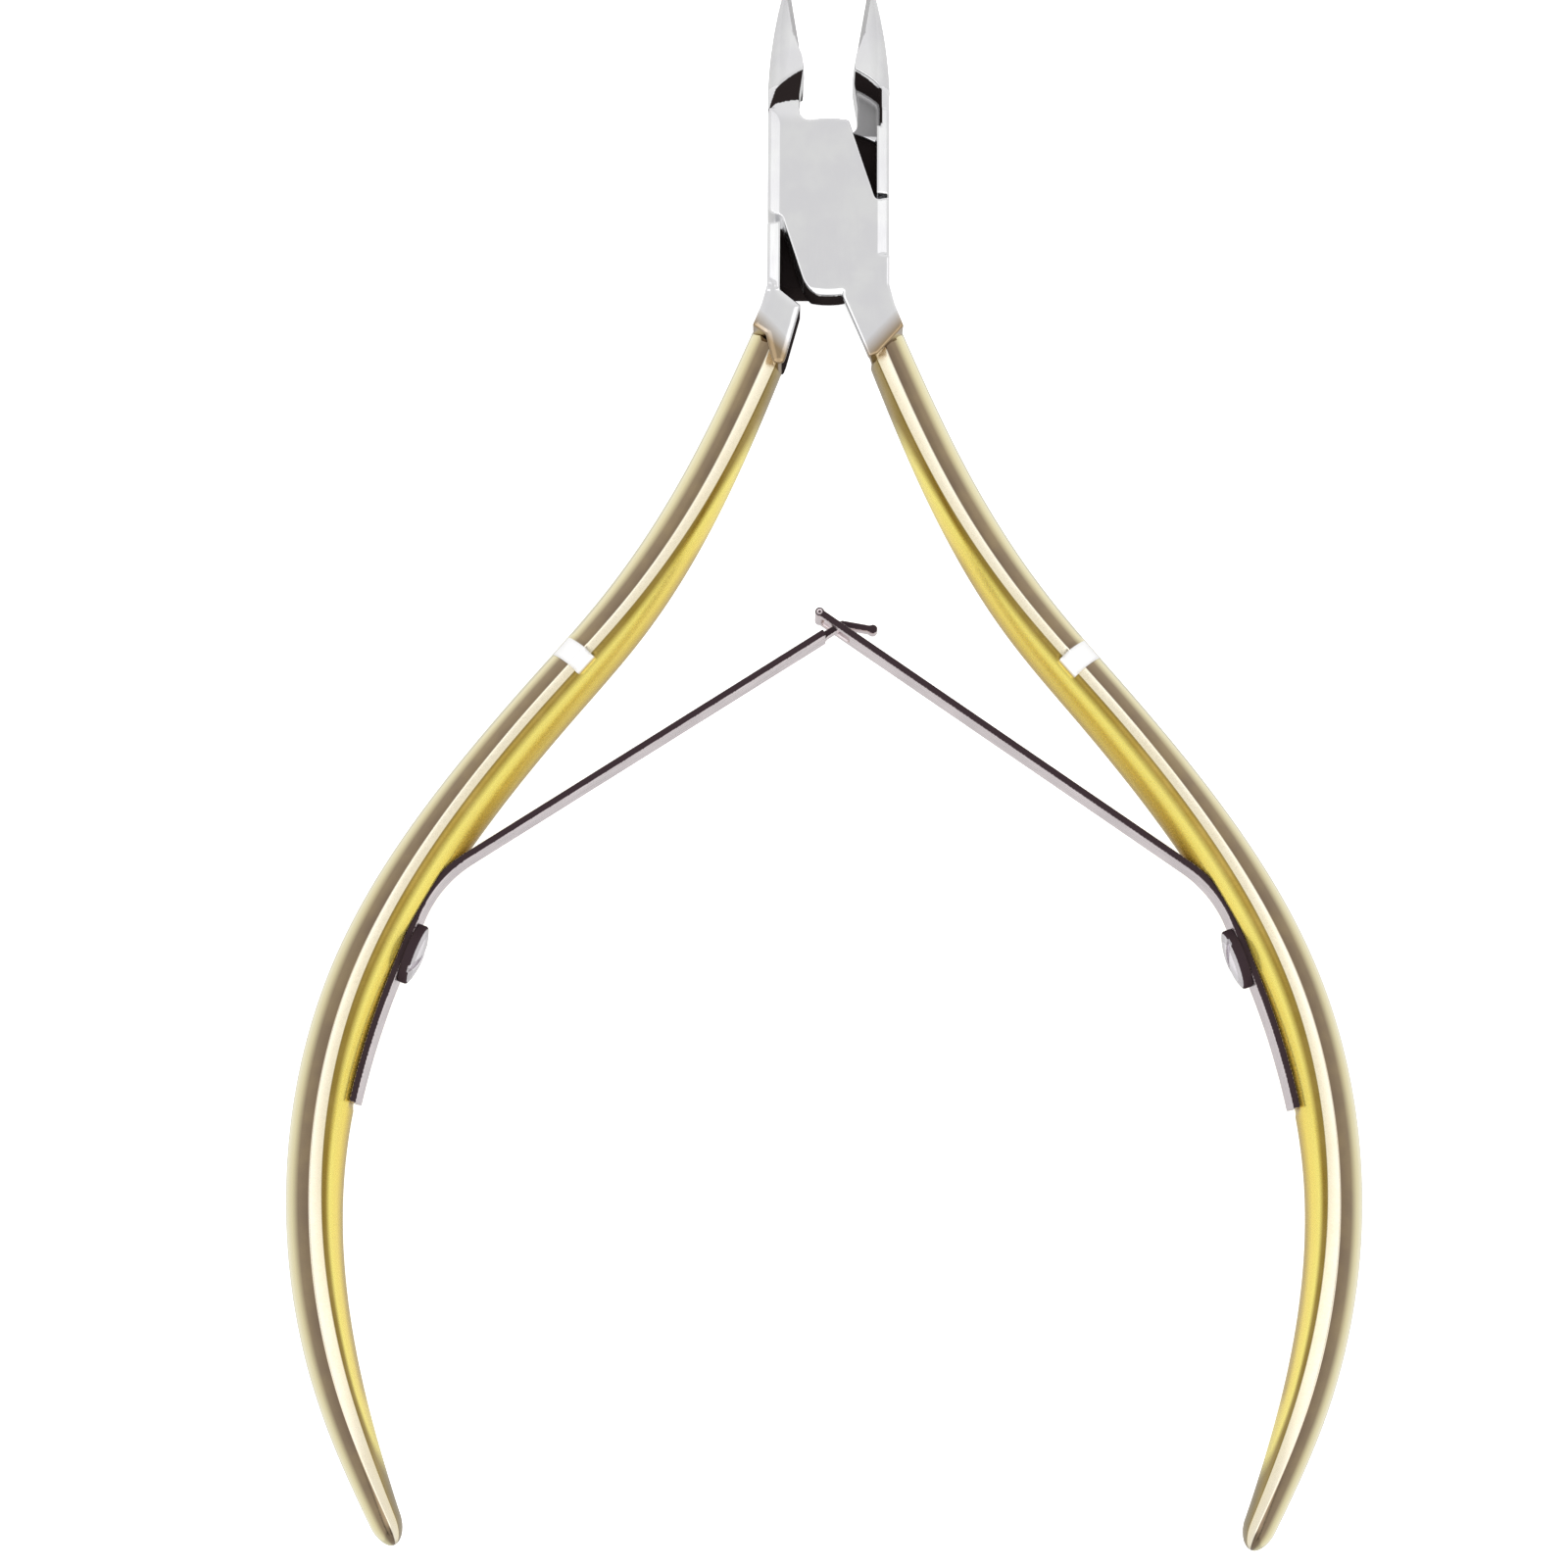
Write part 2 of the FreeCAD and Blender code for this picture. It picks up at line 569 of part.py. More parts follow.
def build_leaf_base(nip, side, label):
    """The part of a leaf that is clamped against the handle."""
    line = LeafLine(nip)
    land = (line.land_end - line.bend_end).Length
    runs = [
        leaf_bend(nip, side + "_leaf_bend", "leaf_bend_radius", line.bend_start, line.arm, line.turn),
        strip(nip, side + "_leaf_land", line.bend_end, line.base, land),
        leaf_bend(nip, side + "_leaf_tail", "leaf_base_radius", line.land_end, line.base, base_turn(nip))]
    blank = nip.fuse(side + "_leaf_blank", runs)
    mid = nip.size("joint_thickness") / 2
    place = Placement(line.screw - line.outward * nip.size("leaf_thickness") + Vector(0, 0, mid),
                      Rotation(Vector(0, 0, 1), line.outward))
    hole = nip.add("Part::Cylinder", side + "_leaf_hole", place,
                   Radius="dims.screw_shank_diameter / 2 + dims.leaf_gap", Height="2 * dims.leaf_thickness")
    base = nip.cut(side + "_leaf_base", blank, hole)
    if side == "rear":
        base.Placement = turned(nip)
    return nip.node(base, label)


def build_window_arm(nip, label):
    """The right arm: a strip with a window near its end, closed by a bar and a small curl."""
    line = LeafLine(nip)
    reach = nip.size("window_after") + nip.size("window_bar")
    length = (line.bend_start - line.apex).Length - nip.size("hinge_gap") + reach
    tip = line.apex - line.arm * reach
    blank = strip(nip, "window_arm_strip", tip, line.arm, length)
    window = strip(nip, "window_arm_window", line.apex - line.arm * nip.size("window_after"), line.arm,
                   nip.size("window_after") + nip.size("window_before"), "dims.window_width", "1", "1")
    curl = curl_at(nip, "window_arm_curl", tip, "dims.leaf_width")
    return nip.node(nip.fuse("window_arm", [nip.cut("window_arm_cut", blank, window), curl]), label)


def build_tongue_arm(nip, label):
    """The left arm: a strip that narrows to a tongue, which passes the window and bends level."""
    line = LeafLine(nip)
    stop = line.apex + line.arm * nip.size("tongue_before")
    bend = line.apex - line.arm * nip.size("tongue_after")
    level = Vector(-1, 0, 0)
    length = (line.bend_start - stop).Length - nip.size("hinge_gap")
    tongue_length = nip.size("tongue_before") + nip.size("tongue_after")
    tip = bend + level * nip.size("tongue_reach")
    runs = [
        strip(nip, "tongue_arm_strip", stop, line.arm, length),
        strip(nip, "tongue_arm_tongue", bend, line.arm, tongue_length + nip.size("tongue_overlap"),
              "dims.tongue_width"),
        curl_at(nip, "tongue_arm_knee", bend, "dims.tongue_width", "dims.leaf_thickness / 2"),
        strip(nip, "tongue_arm_level", tip, Vector(1, 0, 0), nip.size("tongue_reach"), "dims.tongue_width"),
        curl_at(nip, "tongue_arm_curl", tip, "dims.tongue_width")]
    arm = nip.fuse("tongue_arm", runs)
    arm.Placement = turned(nip)
    return nip.node(arm, label)


def curl_at(nip, name, spot, width, radius="dims.curl_radius"):
    low = (nip.size("joint_thickness") - nip.evaluate(width)) / 2
    return nip.add("Part::Cylinder", name, Placement(Vector(spot.x, spot.y, low), Rotation()),
                   Radius=radius, Height=width)


def build_leaf_screw(nip, side, label):
    """The screw that clamps the leaf: a round head on the leaf and a shank into the handle."""
    line = LeafLine(nip)
    face = line.screw - line.outward * (nip.size("leaf_thickness") / 2)
    face = face + Vector(0, 0, nip.size("joint_thickness") / 2)
    turn = Rotation(Vector(0, 0, 1), line.outward)
    shank = nip.add("Part::Cylinder", side + "_screw_shank", Placement(face, turn),
                    Radius="dims.screw_shank_diameter / 2", Height="dims.screw_shank_length")
    head_place = Placement(face - line.outward * nip.size("screw_head_height"), turn)
    head = nip.add("Part::Cylinder", side + "_screw_head", head_place, Radius="dims.screw_head_diameter / 2",
                   Height="dims.screw_head_height")
    screw = nip.fuse(side + "_screw", [shank, head])
    if side == "rear":
        screw.Placement = turned(nip)
    return nip.node(screw, label)


def export(nip):
    nip.doc.recompute()
    for obj in nip.doc.Objects:
        if "Invalid" in obj.State or "Error" in obj.State:
            raise RuntimeError("%s did not compute: %s" % (obj.Name, obj.State))
    os.makedirs("parts", exist_ok=True)
    for obj in nip.parts:
        shape = obj.Shape
        if shape.isNull() or not shape.isValid() or len(shape.Solids) != 1:
            raise RuntimeError("%s is not one valid solid (%d solids)" % (obj.Label, len(shape.Solids)))
        shape.exportStep("parts/%s.step" % obj.Label)
        print("%-18s %8.2f mm3" % (obj.Label, shape.Volume))


def main():
    nip = Nipper()
    build_head(nip, "front")
    build_head(nip, "rear")
    build_pivot_screw(nip)
    for side, hand in (("front", "right"), ("rear", "left")):
        build_handle(nip, side, hand + "_handle")
        build_leaf_base(nip, side, hand + "_leaf_base")
        build_leaf_screw(nip, side, hand + "_leaf_screw")
    build_window_arm(nip, "right_leaf_arm")
    build_tongue_arm(nip, "left_leaf_arm")
    export(nip)


main()
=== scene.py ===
import math

import bmesh
import bpy
import numpy as np
from mathutils import Matrix, Vector


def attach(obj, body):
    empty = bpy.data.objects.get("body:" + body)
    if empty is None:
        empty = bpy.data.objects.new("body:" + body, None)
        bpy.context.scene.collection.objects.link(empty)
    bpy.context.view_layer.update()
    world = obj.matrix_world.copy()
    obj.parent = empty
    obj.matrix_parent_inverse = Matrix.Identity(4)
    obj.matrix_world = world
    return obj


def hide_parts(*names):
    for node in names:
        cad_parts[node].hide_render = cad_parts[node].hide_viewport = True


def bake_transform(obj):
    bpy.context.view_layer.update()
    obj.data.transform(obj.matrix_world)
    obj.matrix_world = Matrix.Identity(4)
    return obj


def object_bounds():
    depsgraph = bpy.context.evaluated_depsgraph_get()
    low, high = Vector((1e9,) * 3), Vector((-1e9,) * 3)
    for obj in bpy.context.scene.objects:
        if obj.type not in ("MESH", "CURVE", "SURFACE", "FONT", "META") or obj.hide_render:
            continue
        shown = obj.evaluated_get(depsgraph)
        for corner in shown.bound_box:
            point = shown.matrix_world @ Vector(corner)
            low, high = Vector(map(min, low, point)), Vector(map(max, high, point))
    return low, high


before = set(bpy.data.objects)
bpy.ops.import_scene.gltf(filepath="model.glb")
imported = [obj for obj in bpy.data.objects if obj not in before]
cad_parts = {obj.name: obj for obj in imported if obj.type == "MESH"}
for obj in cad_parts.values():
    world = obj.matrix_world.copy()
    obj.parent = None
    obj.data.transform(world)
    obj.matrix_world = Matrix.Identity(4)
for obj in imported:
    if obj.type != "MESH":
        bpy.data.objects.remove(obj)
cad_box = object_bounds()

# Cuticle nipper.  Sizes below are in millimetres and degrees, in the frame of the CAD model: the pivot
# is the Z axis, the jaws point to +Y, the handles to -Y, and the nipper lies on the plane z = 0.
# Every forged half is drawn as the front one (left jaw, front lap, right handle); the rear one is the
# same shape turned half round about the long axis at mid thickness.

MM = 0.001
MID = 3.0
HALF_WIDTH = 4.05
FRONT, REAR = "front", "rear"
BODY = {FRONT: "front_half", REAR: "rear_half"}
HAND = {FRONT: "right", REAR: "left"}

# where the gold plating ends on the front half's handle: the ends of that line
PLATING_INNER = (2.75, -10.3)
PLATING_OUTER = (5.0, -7.9)


# ---------------------------------------------------------------- camera, floor and light

CAMERA_PLACE = (-2.720, -72.947, 210.120)
CAMERA_TILT = 9.5
CAMERA_ROLL = 0.35
CAMERA_LENS = 73.94
SENSOR_WIDTH = 36
NEAR_CLIP = 0.01


def make_camera():
    tilt, roll = math.radians(CAMERA_TILT), math.radians(CAMERA_ROLL)
    level = Vector((1, 0, 0))
    rise = Vector((0, math.cos(tilt), math.sin(tilt)))
    right = level * math.cos(roll) + rise * math.sin(roll)
    up = rise * math.cos(roll) - level * math.sin(roll)
    back = right.cross(up)
    camera = bpy.data.objects.new("camera", bpy.data.cameras.new("camera"))
    camera.matrix_world = Matrix((right, up, back)).transposed().to_4x4()
    camera.location = Vector(CAMERA_PLACE) * MM
    camera.data.lens = CAMERA_LENS
    camera.data.sensor_width = SENSOR_WIDTH
    camera.data.clip_start = NEAR_CLIP
    bpy.context.scene.collection.objects.link(camera)
    bpy.context.scene.camera = camera


class Nodes:
    """Short names for building a node tree."""

    def __init__(self, tree):
        self.tree = tree
        tree.nodes.clear()

    def add(self, kind, **settings):
        node = self.tree.nodes.new(kind)
        for name, value in settings.items():
            if hasattr(node, name):
                setattr(node, name, value)
            else:
                node.inputs[name.replace("_", " ")].default_value = value
        return node

    def link(self, source, target):
        self.tree.links.new(source, target)

    def put(self, value, socket):
        if isinstance(value, bpy.types.NodeSocket):
            self.link(value, socket)
        else:
            socket.default_value = value

    def math(self, operation, first, second=0.0):
        node = self.add("ShaderNodeMath", operation=operation)
        self.put(first, node.inputs[0])
        self.put(second, node.inputs[1])
        return node.outputs[0]

    def step(self, value, start, end, low=0.0, high=1.0):
        """Smoothly from low to high as value goes from start to end."""
        node = self.add("ShaderNodeMapRange", interpolation_type="SMOOTHSTEP")
        self.put(value, node.inputs["Value"])
        for name, number in (("From Min", start), ("From Max", end), ("To Min", low), ("To Max", high)):
            self.put(number, node.inputs[name])
        return node.outputs["Result"]

    def ramp(self, value, stops):
        node = self.add("ShaderNodeValToRGB")
        elements = node.color_ramp.elements
        for element, (place, color) in zip((elements[0], elements[1]), (stops[0], stops[-1])):
            element.position, element.color = place, (*color, 1)
        for place, color in stops[1:-1]:
            elements.new(place).color = (*color, 1)
        self.put(value, node.inputs["Fac"])
        return node.outputs["Color"]

    def mix(self, factor, first, second, blend="MIX"):
        node = self.add("ShaderNodeMix", data_type="RGBA", blend_type=blend)
        self.put(factor, node.inputs[0])
        self.put(first, node.inputs[6])
        self.put(second, node.inputs[7])
        return node.outputs[2]


# The studio's lights: each goes smoothly from low to high (0 to 1 where not given) as a measure of the
# direction goes from start to end.  Measures are parts of a unit direction, or the angle from straight
# up towards the nearer side.
OVERHEAD = {"start": 0.42, "end": 0.62, "low": 0.3, "high": 0.86}
OVERHEAD_BACK = 0.9
REAR_WALL = {"start": 0.35, "end": 0.8, "high": 0.12}
STRIP_IN = {"start": math.radians(20), "end": math.radians(25)}
STRIP_OUT = {"start": math.radians(46), "end": math.radians(50), "low": 1.0, "high": 0.0}
STRIP_BACK = {"start": 0.28, "end": 0.42, "low": 1.0, "high": 0.0}
STRIP_LIGHT = 0.6
FRONT_BOX_START = {"start": 0.12, "end": 0.25}
FRONT_BOX_RISE = {"start": 0.62, "end": 0.72, "high": 0.6}
BOUNCE_TURN = {"start": math.radians(50), "end": math.radians(57)}
BOUNCE_SIDE = {"start": 0.2, "end": 0.5, "high": 0.95}
HORIZON = {"start": 0.3, "end": 0.0, "high": 0.7}
LIGHT_COLOR = (1.0, 0.995, 0.99, 1)


def make_world():
    """A studio: pale overhead, long bright strips to both sides, a bright back and a dark front."""
    world = bpy.data.worlds.new("studio")
    world.use_nodes = True
    bpy.context.scene.world = world
    nodes = Nodes(world.node_tree)
    split = nodes.add("ShaderNodeSeparateXYZ")
    nodes.link(nodes.add("ShaderNodeTexCoord").outputs["Generated"], split.inputs[0])
    x, y, z = split.outputs
    side = nodes.math("ABSOLUTE", x)
    back = nodes.math("MAXIMUM", y, 0.0)
    front = nodes.math("MAXIMUM", nodes.math("MULTIPLY", y, -1.0), 0.0)
    around = nodes.math("ARCTAN2", side, z)
    overhead = nodes.step(nodes.math("ADD", z, nodes.math("MULTIPLY", back, OVERHEAD_BACK)), **OVERHEAD)
    rear_wall = nodes.step(back, **REAR_WALL)
    strip = nodes.math("MULTIPLY", nodes.step(around, **STRIP_IN), nodes.step(around, **STRIP_OUT))
    strip = nodes.math("MULTIPLY", strip, STRIP_LIGHT)
    strip = nodes.math("MULTIPLY", strip, nodes.step(y, **STRIP_BACK))
    front_box = nodes.step(front, **FRONT_BOX_START)
    front_box = nodes.math("MULTIPLY", front_box, nodes.step(z, **FRONT_BOX_RISE))
    bounce = nodes.math("MULTIPLY", nodes.step(around, **BOUNCE_TURN), nodes.step(side, **BOUNCE_SIDE))
    bounce = nodes.math("MAXIMUM", bounce, nodes.step(z, **HORIZON))
    light = nodes.math("MAXIMUM", overhead, bounce)
    for part in (rear_wall, strip, front_box):
        light = nodes.math("ADD", light, part)
    seen = nodes.add("ShaderNodeLightPath").outputs["Is Camera Ray"]
    light = nodes.math("ADD", nodes.math("MULTIPLY", light, nodes.math("SUBTRACT", 1.0, seen)), seen)
    background = nodes.add("ShaderNodeBackground", Color=LIGHT_COLOR)
    nodes.link(light, background.inputs["Strength"])
    nodes.link(background.outputs[0], nodes.add("ShaderNodeOutputWorld").inputs["Surface"])


FLOOR_REACH = 1500
FLOOR_DROP = 0.02
FLOOR_SHADE = 0.75
FLOOR_GLOW = 0.85


def make_floor():
    """A light table: a pale sheet that glows a little, so that it stays almost free of shadow."""
    material = bpy.data.materials.new("pale_floor")
    material.use_nodes = True
    nodes = Nodes(material.node_tree)
    shader = nodes.add("ShaderNodeBsdfPrincipled", Roughness=0.8, Base_Color=(*[FLOOR_SHADE] * 3, 1),
                       Emission_Color=(1, 1, 1, 1), Emission_Strength=FLOOR_GLOW)
    nodes.link(shader.outputs[0], nodes.add("ShaderNodeOutputMaterial").inputs["Surface"])
    reach = FLOOR_REACH * MM
    mesh = bpy.data.meshes.new("floor")
    corners = [(sx * reach, sy * reach, 0) for sx, sy in ((-1, -1), (1, -1), (1, 1), (-1, 1))]
    mesh.from_pydata(corners, [], [(0, 1, 2, 3)])
    mesh.materials.append(material)
    floor = bpy.data.objects.new("floor", mesh)
    bpy.context.scene.collection.objects.link(floor)
    floor.location.z = cad_box[0].z - FLOOR_DROP * MM
    floor.visible_glossy = False


# ---------------------------------------------------------------- materials

CLOUD_SIZE = 0.45
GRAIN_HEIGHT = 0.02
GLOSS_SPREAD = (0.75, 1.35)
POLISHED_STEEL = ((0.74, 0.74, 0.76, 1), (0.78, 0.785, 0.79, 1))
# near black colour and added roughness where shade is painted on the heads
PAINTED_SHADE_COLOR = (0.022, 0.017, 0.017, 1)
PAINTED_SHADE_DULLNESS = 0.3
# brown shadow painted along the seam where the plating meets the steel root
SEAM_SHADOW_BROWN = (0.34, 0.25, 0.15, 1)
SPRING_STEEL = ((0.74, 0.66, 0.68, 1), (0.86, 0.77, 0.79, 1))
SCREW_STEEL = ((0.80, 0.77, 0.80, 1), (0.90, 0.87, 0.91, 1))
# near black shade painted on the leaf's edges and on the screw head's rim
PAINTED_EDGE_SHADE = (0.045, 0.03, 0.035, 1)
# the gold across the handle, with reflection and shade painted in: pale painted sheen on the back,
# brown painted shade by the ridge, cream painted highlight on the chamfer, olive painted shade line,
# yellow belly darkening with painted shade at its inner edge
GOLD_WITH_PAINTED_BANDS = [
    (0.0, (0.98, 0.94, 0.64)), (0.16, (0.74, 0.67, 0.41)), (0.27, (0.27, 0.205, 0.135)),
    (0.46, (0.20, 0.145, 0.10)), (0.50, (0.88, 0.82, 0.68)), (0.595, (0.87, 0.79, 0.59)),
    (0.63, (0.26, 0.18, 0.04)), (0.71, (0.32, 0.22, 0.04)), (0.79, (0.90, 0.78, 0.19)),
    (0.92, (0.85, 0.68, 0.14)), (1.0, (0.50, 0.35, 0.06))]
GOLD_CLOUD = (0.75, 0.58, 0.25, 1)
WHITE_MARK_DULLNESS = 0.3
SATIN = {"start": 0.47, "end": 0.5, "high": 0.14}
BELLY_MATT = {"start": 0.72, "end": 0.8, "high": 0.3}


def new_material(name):
    material = bpy.data.materials.new(name)
    material.use_nodes = True
    return material, Nodes(material.node_tree)


def object_point(nodes, scale=(1, 1, 1)):
    mapping = nodes.add("ShaderNodeMapping")
    mapping.inputs["Scale"].default_value = [s / MM for s in scale]
    nodes.link(nodes.add("ShaderNodeTexCoord").outputs["Object"], mapping.inputs["Vector"])
    return mapping.outputs[0]


def noise(nodes, point, scale, detail=3.0):
    node = nodes.add("ShaderNodeTexNoise", Scale=scale, Detail=detail)
    nodes.link(point, node.inputs["Vector"])
    return node.outputs["Fac"]


def point_value(nodes, name):
    return nodes.add("ShaderNodeAttribute", attribute_name=name).outputs["Fac"]


def polished_metal(name, tint, roughness, grain, stretch, depth):
    """Metal with fine grinding lines; tint gives its colour, added roughness and matt share."""
    material, nodes = new_material(name)
    cloud = noise(nodes, object_point(nodes), CLOUD_SIZE)
    lines = noise(nodes, object_point(nodes, stretch), grain, 2.0)
    color, dullness, matt = tint(nodes, cloud)
    shader = nodes.add("ShaderNodeBsdfPrincipled")
    polish = nodes.math("SUBTRACT", 1.0, matt)
    nodes.link(polish, shader.inputs["Metallic"])
    nodes.link(nodes.math("MULTIPLY", polish, 0.5), shader.inputs["Specular IOR Level"])
    nodes.link(color, shader.inputs["Base Color"])
    gloss = nodes.step(lines, 0.3, 0.75, *(roughness * share for share in GLOSS_SPREAD))
    nodes.put(nodes.math("ADD", gloss, dullness), shader.inputs["Roughness"])
    bump = nodes.add("ShaderNodeBump", Strength=depth, Distance=GRAIN_HEIGHT * MM)
    nodes.link(lines, bump.inputs["Height"])
    nodes.link(bump.outputs[0], shader.inputs["Normal"])
    nodes.link(shader.outputs[0], nodes.add("ShaderNodeOutputMaterial").inputs["Surface"])
    return material


def edge_shaded_tint(dark, bright):
    """Bright metal, with dark, matt shade painted on it where each point's value asks for it."""
    def tint(nodes, cloud):
        face = nodes.mix(nodes.step(cloud, 0.35, 0.7), dark, bright)
        painted_shade = point_value(nodes, "painted_shade")
        return nodes.mix(painted_shade, face, PAINTED_EDGE_SHADE), 0.0, painted_shade
    return tint


def steel_tint(nodes, cloud):
    """Polished steel, with a brown shadow painted beside the plating and near black, dull shade painted
    in the recesses.
    """
    polished = nodes.mix(nodes.step(cloud, 0.35, 0.7), *POLISHED_STEEL)
    seam_shadowed = nodes.mix(point_value(nodes, "seam_shadow"), polished, SEAM_SHADOW_BROWN)
    painted_shade = point_value(nodes, "painted_shade")
    return nodes.mix(painted_shade, seam_shadowed, PAINTED_SHADE_COLOR), nodes.math("MULTIPLY", painted_shade, PAINTED_SHADE_DULLNESS), painted_shade


def gold_tint(nodes, cloud):
    """Gold with painted reflection and shade bands across the handle, satin on its inner half, with a
    mark painted white.
    """
    across = point_value(nodes, "across")
    clouded = nodes.step(cloud, 0.3, 0.8, 0.0, 0.12)
    tint = nodes.mix(clouded, nodes.ramp(across, GOLD_WITH_PAINTED_BANDS), GOLD_CLOUD)
    white_mark = point_value(nodes, "white_mark")
    dullness = nodes.step(across, **SATIN)
    dullness = nodes.math("ADD", dullness, nodes.math("MULTIPLY", white_mark, WHITE_MARK_DULLNESS))
    return nodes.mix(white_mark, tint, (1.0, 1.0, 1.0, 1)), dullness, nodes.step(across, **BELLY_MATT)


def make_materials():
    return {
        "steel": polished_metal("polished_steel", steel_tint, roughness=0.16, grain=6.0,
                                stretch=(1, 0.12, 1), depth=0.10),
        "gold": polished_metal("gold_plating", gold_tint, roughness=0.13, grain=5.0,
                               stretch=(1, 1, 1), depth=0.05),
        "leaf": polished_metal("spring_steel", edge_shaded_tint(*SPRING_STEEL), roughness=0.3, grain=4.0,
                               stretch=(0.15, 0.15, 3), depth=0.25),
        "screw": polished_metal("screw_steel", edge_shaded_tint(*SCREW_STEEL), roughness=0.18, grain=3.0,
                                stretch=(1, 1, 1), depth=0.1),
    }


# ---------------------------------------------------------------- solids from distance fields

def meet(first, second, radius=0.0):
    """Intersection, with its edge rounded to a radius."""
    if np.ndim(radius) == 0 and radius == 0.0:
        return np.maximum(first, second)
    reach = np.hypot(np.maximum(first + radius, 0), np.maximum(second + radius, 0))
    return np.minimum(-radius, np.maximum(first, second)) + reach


def join(first, second, radius=0.0):
    """Union, with its inner corner filled to a radius."""
    return -meet(-first, -second, radius)


def carve(body, tool, radius=0.0):
    """What a tool leaves of a body, with the new edge rounded to a radius."""
    return meet(body, -tool, radius)


def between(value, low, high):
    return np.maximum(low - value, value - high)


def past_circle(x, y, circle):
    """How far outside a circle, given by its centre and radius, each point lies in plan."""
    return np.hypot(x - circle[0], y - circle[1]) - circle[2]


def to_line(x, y, points):
    """Distance in plan to a line of straight runs."""
    nearest = np.full(np.broadcast(x, y).shape, 1e9)
    for (ax, ay), (bx, by) in zip(points, points[1:]):
        ex, ey = bx - ax, by - ay
        along = np.clip(((x - ax) * ex + (y - ay) * ey) / (ex * ex + ey * ey), 0, 1)
        nearest = np.minimum(nearest, np.hypot(x - ax - along * ex, y - ay - along * ey))
    return nearest


def polygon(x, y, corners):
    """Distance to a closed outline in plan, negative inside."""
    loop = corners + corners[:1]
    inside = np.zeros(np.broadcast(x, y).shape, bool)
    for (ax, ay), (bx, by) in zip(loop, loop[1:]):
        if by != ay:
            inside ^= ((ay > y) != (by > y)) & (x < ax + (y - ay) / (by - ay) * (bx - ax))
    nearest = to_line(x, y, loop)
    return np.where(inside, -nearest, nearest)


def surface_of(field, low, high, step):
    """Vertices and quads of a field's zero surface, one vertex in each grid cell that it crosses."""
    axes = [np.arange(a, b + step, step) for a, b in zip(low, high)]
    x, y, z = (axis.reshape([-1 if i == n else 1 for i in range(3)]) for n, axis in enumerate(axes))
    value = np.broadcast_to(field(x, y, z), [len(axis) for axis in axes]).astype(np.float32)
    inside = value < 0
    corners = [(i, j, k) for i in (0, 1) for j in (0, 1) for k in (0, 1)]
    size = np.array(value.shape) - 1
    count = sum(inside[i:size[0] + i, j:size[1] + j, k:size[2] + k].astype(np.int8)
                for i, j, k in corners)
    cells = np.argwhere((count > 0) & (count < 8))
    total = np.zeros((len(cells), 3))
    hits = np.zeros(len(cells))
    for start in corners:
        for axis in range(3):
            if start[axis]:
                continue
            end = [start[n] + (n == axis) for n in range(3)]
            first = value[tuple((cells + start).T)]
            second = value[tuple((cells + end).T)]
            crossed = (first < 0) != (second < 0)
            share = np.where(crossed, first / np.where(crossed, first - second, 1), 0)
            spot = np.array(start, float) + share[:, None] * np.eye(3)[axis]
            total += np.where(crossed[:, None], spot, 0)
            hits += crossed
    points = (cells + total / hits[:, None]) * step + np.array(low)
    index = np.full(size, -1)
    index[tuple(cells.T)] = np.arange(len(cells))
    quads = []
    for axis in range(3):
        side, other = [n for n in range(3) if n != axis]
        window = [slice(1, -1)] * 3
        window[axis] = slice(None, -1)
        ahead = list(window)
        ahead[axis] = slice(1, None)
        low_in, high_in = inside[tuple(window)], inside[tuple(ahead)]
        for rising in (True, False):
            found = np.argwhere((low_in & ~high_in) if rising else (~low_in & high_in))
            found += [0 if n == axis else 1 for n in range(3)]
            ring = []
            for da, db in ((-1, -1), (0, -1), (0, 0), (-1, 0)):
                shifted = found.copy()
                shifted[:, side] += da
                shifted[:, other] += db
                ring.append(index[tuple(shifted.T)])
            flip = rising if axis != 1 else not rising
            quads.append(np.stack(ring if flip else ring[::-1], 1))
    return points, np.concatenate(quads)


def turned(points):
    """The half turn that carries a front half to the rear half."""
    return points * np.array([-1, 1, -1]) + np.array([0, 0, 2 * MID])


HALF_TURN = Matrix(((-1, 0, 0, 0), (0, 1, 0, 0), (0, 0, -1, 2 * MID * MM), (0, 0, 0, 1)))


def make_piece(name, points, faces, half, material, values=None):
    """An object from points in millimetres, as drawn for the front half, with a value at each point."""
    mesh = bpy.data.meshes.new(name)
    mesh.from_pydata((points * MM).tolist(), [], [list(map(int, face)) for face in faces])
    for value_name, value in (values or {}).items():
        mesh.attributes.new(value_name, "FLOAT", "POINT").data.foreach_set("value", value)
    if half == REAR:
        mesh.transform(HALF_TURN)
    tidy = bmesh.new()
    tidy.from_mesh(mesh)
    bmesh.ops.recalc_face_normals(tidy, faces=tidy.faces[:])
    tidy.to_mesh(mesh)
    tidy.free()
    mesh.materials.append(material)
    mesh.polygons.foreach_set("use_smooth", [True] * len(mesh.polygons))
    mesh.update()
    piece = bpy.data.objects.new(name, mesh)
    bpy.context.scene.collection.objects.link(piece)
    return piece


# ---------------------------------------------------------------- the two heads

# lap: a disc with flat sides that lies in the other half's round well, between its two flanks; two
# wedges (side and fillet of each) are cut from it so that the flanks clear it when the jaws close
LAP_RADIUS = 6.2
LAP_BACK = 3.025
WELL_RADIUS = 6.32
CLOSING = 18.0
FLANK_INNER = 3.2
FLANK_CLEARANCE = 0.07
FLANK_REACH = (1.0, 5.7)
FLANK_TOP = 3.1
WEDGE_LEDGE = 0.55
WEDGE_FILLETS = ((1, 0.1), (-1, 1.1))
REAR_LAP_FOOT = 4.6
FOOT_BEVEL = (0.55, 26)
FOOT_LEAN = 0.2
FOOT_LEAN_TOP = 4.8
LAP_TO_JAW = 0.9
CHEEK_START = 3.25
CHEEK_REACH = (-5.6, 8.3)

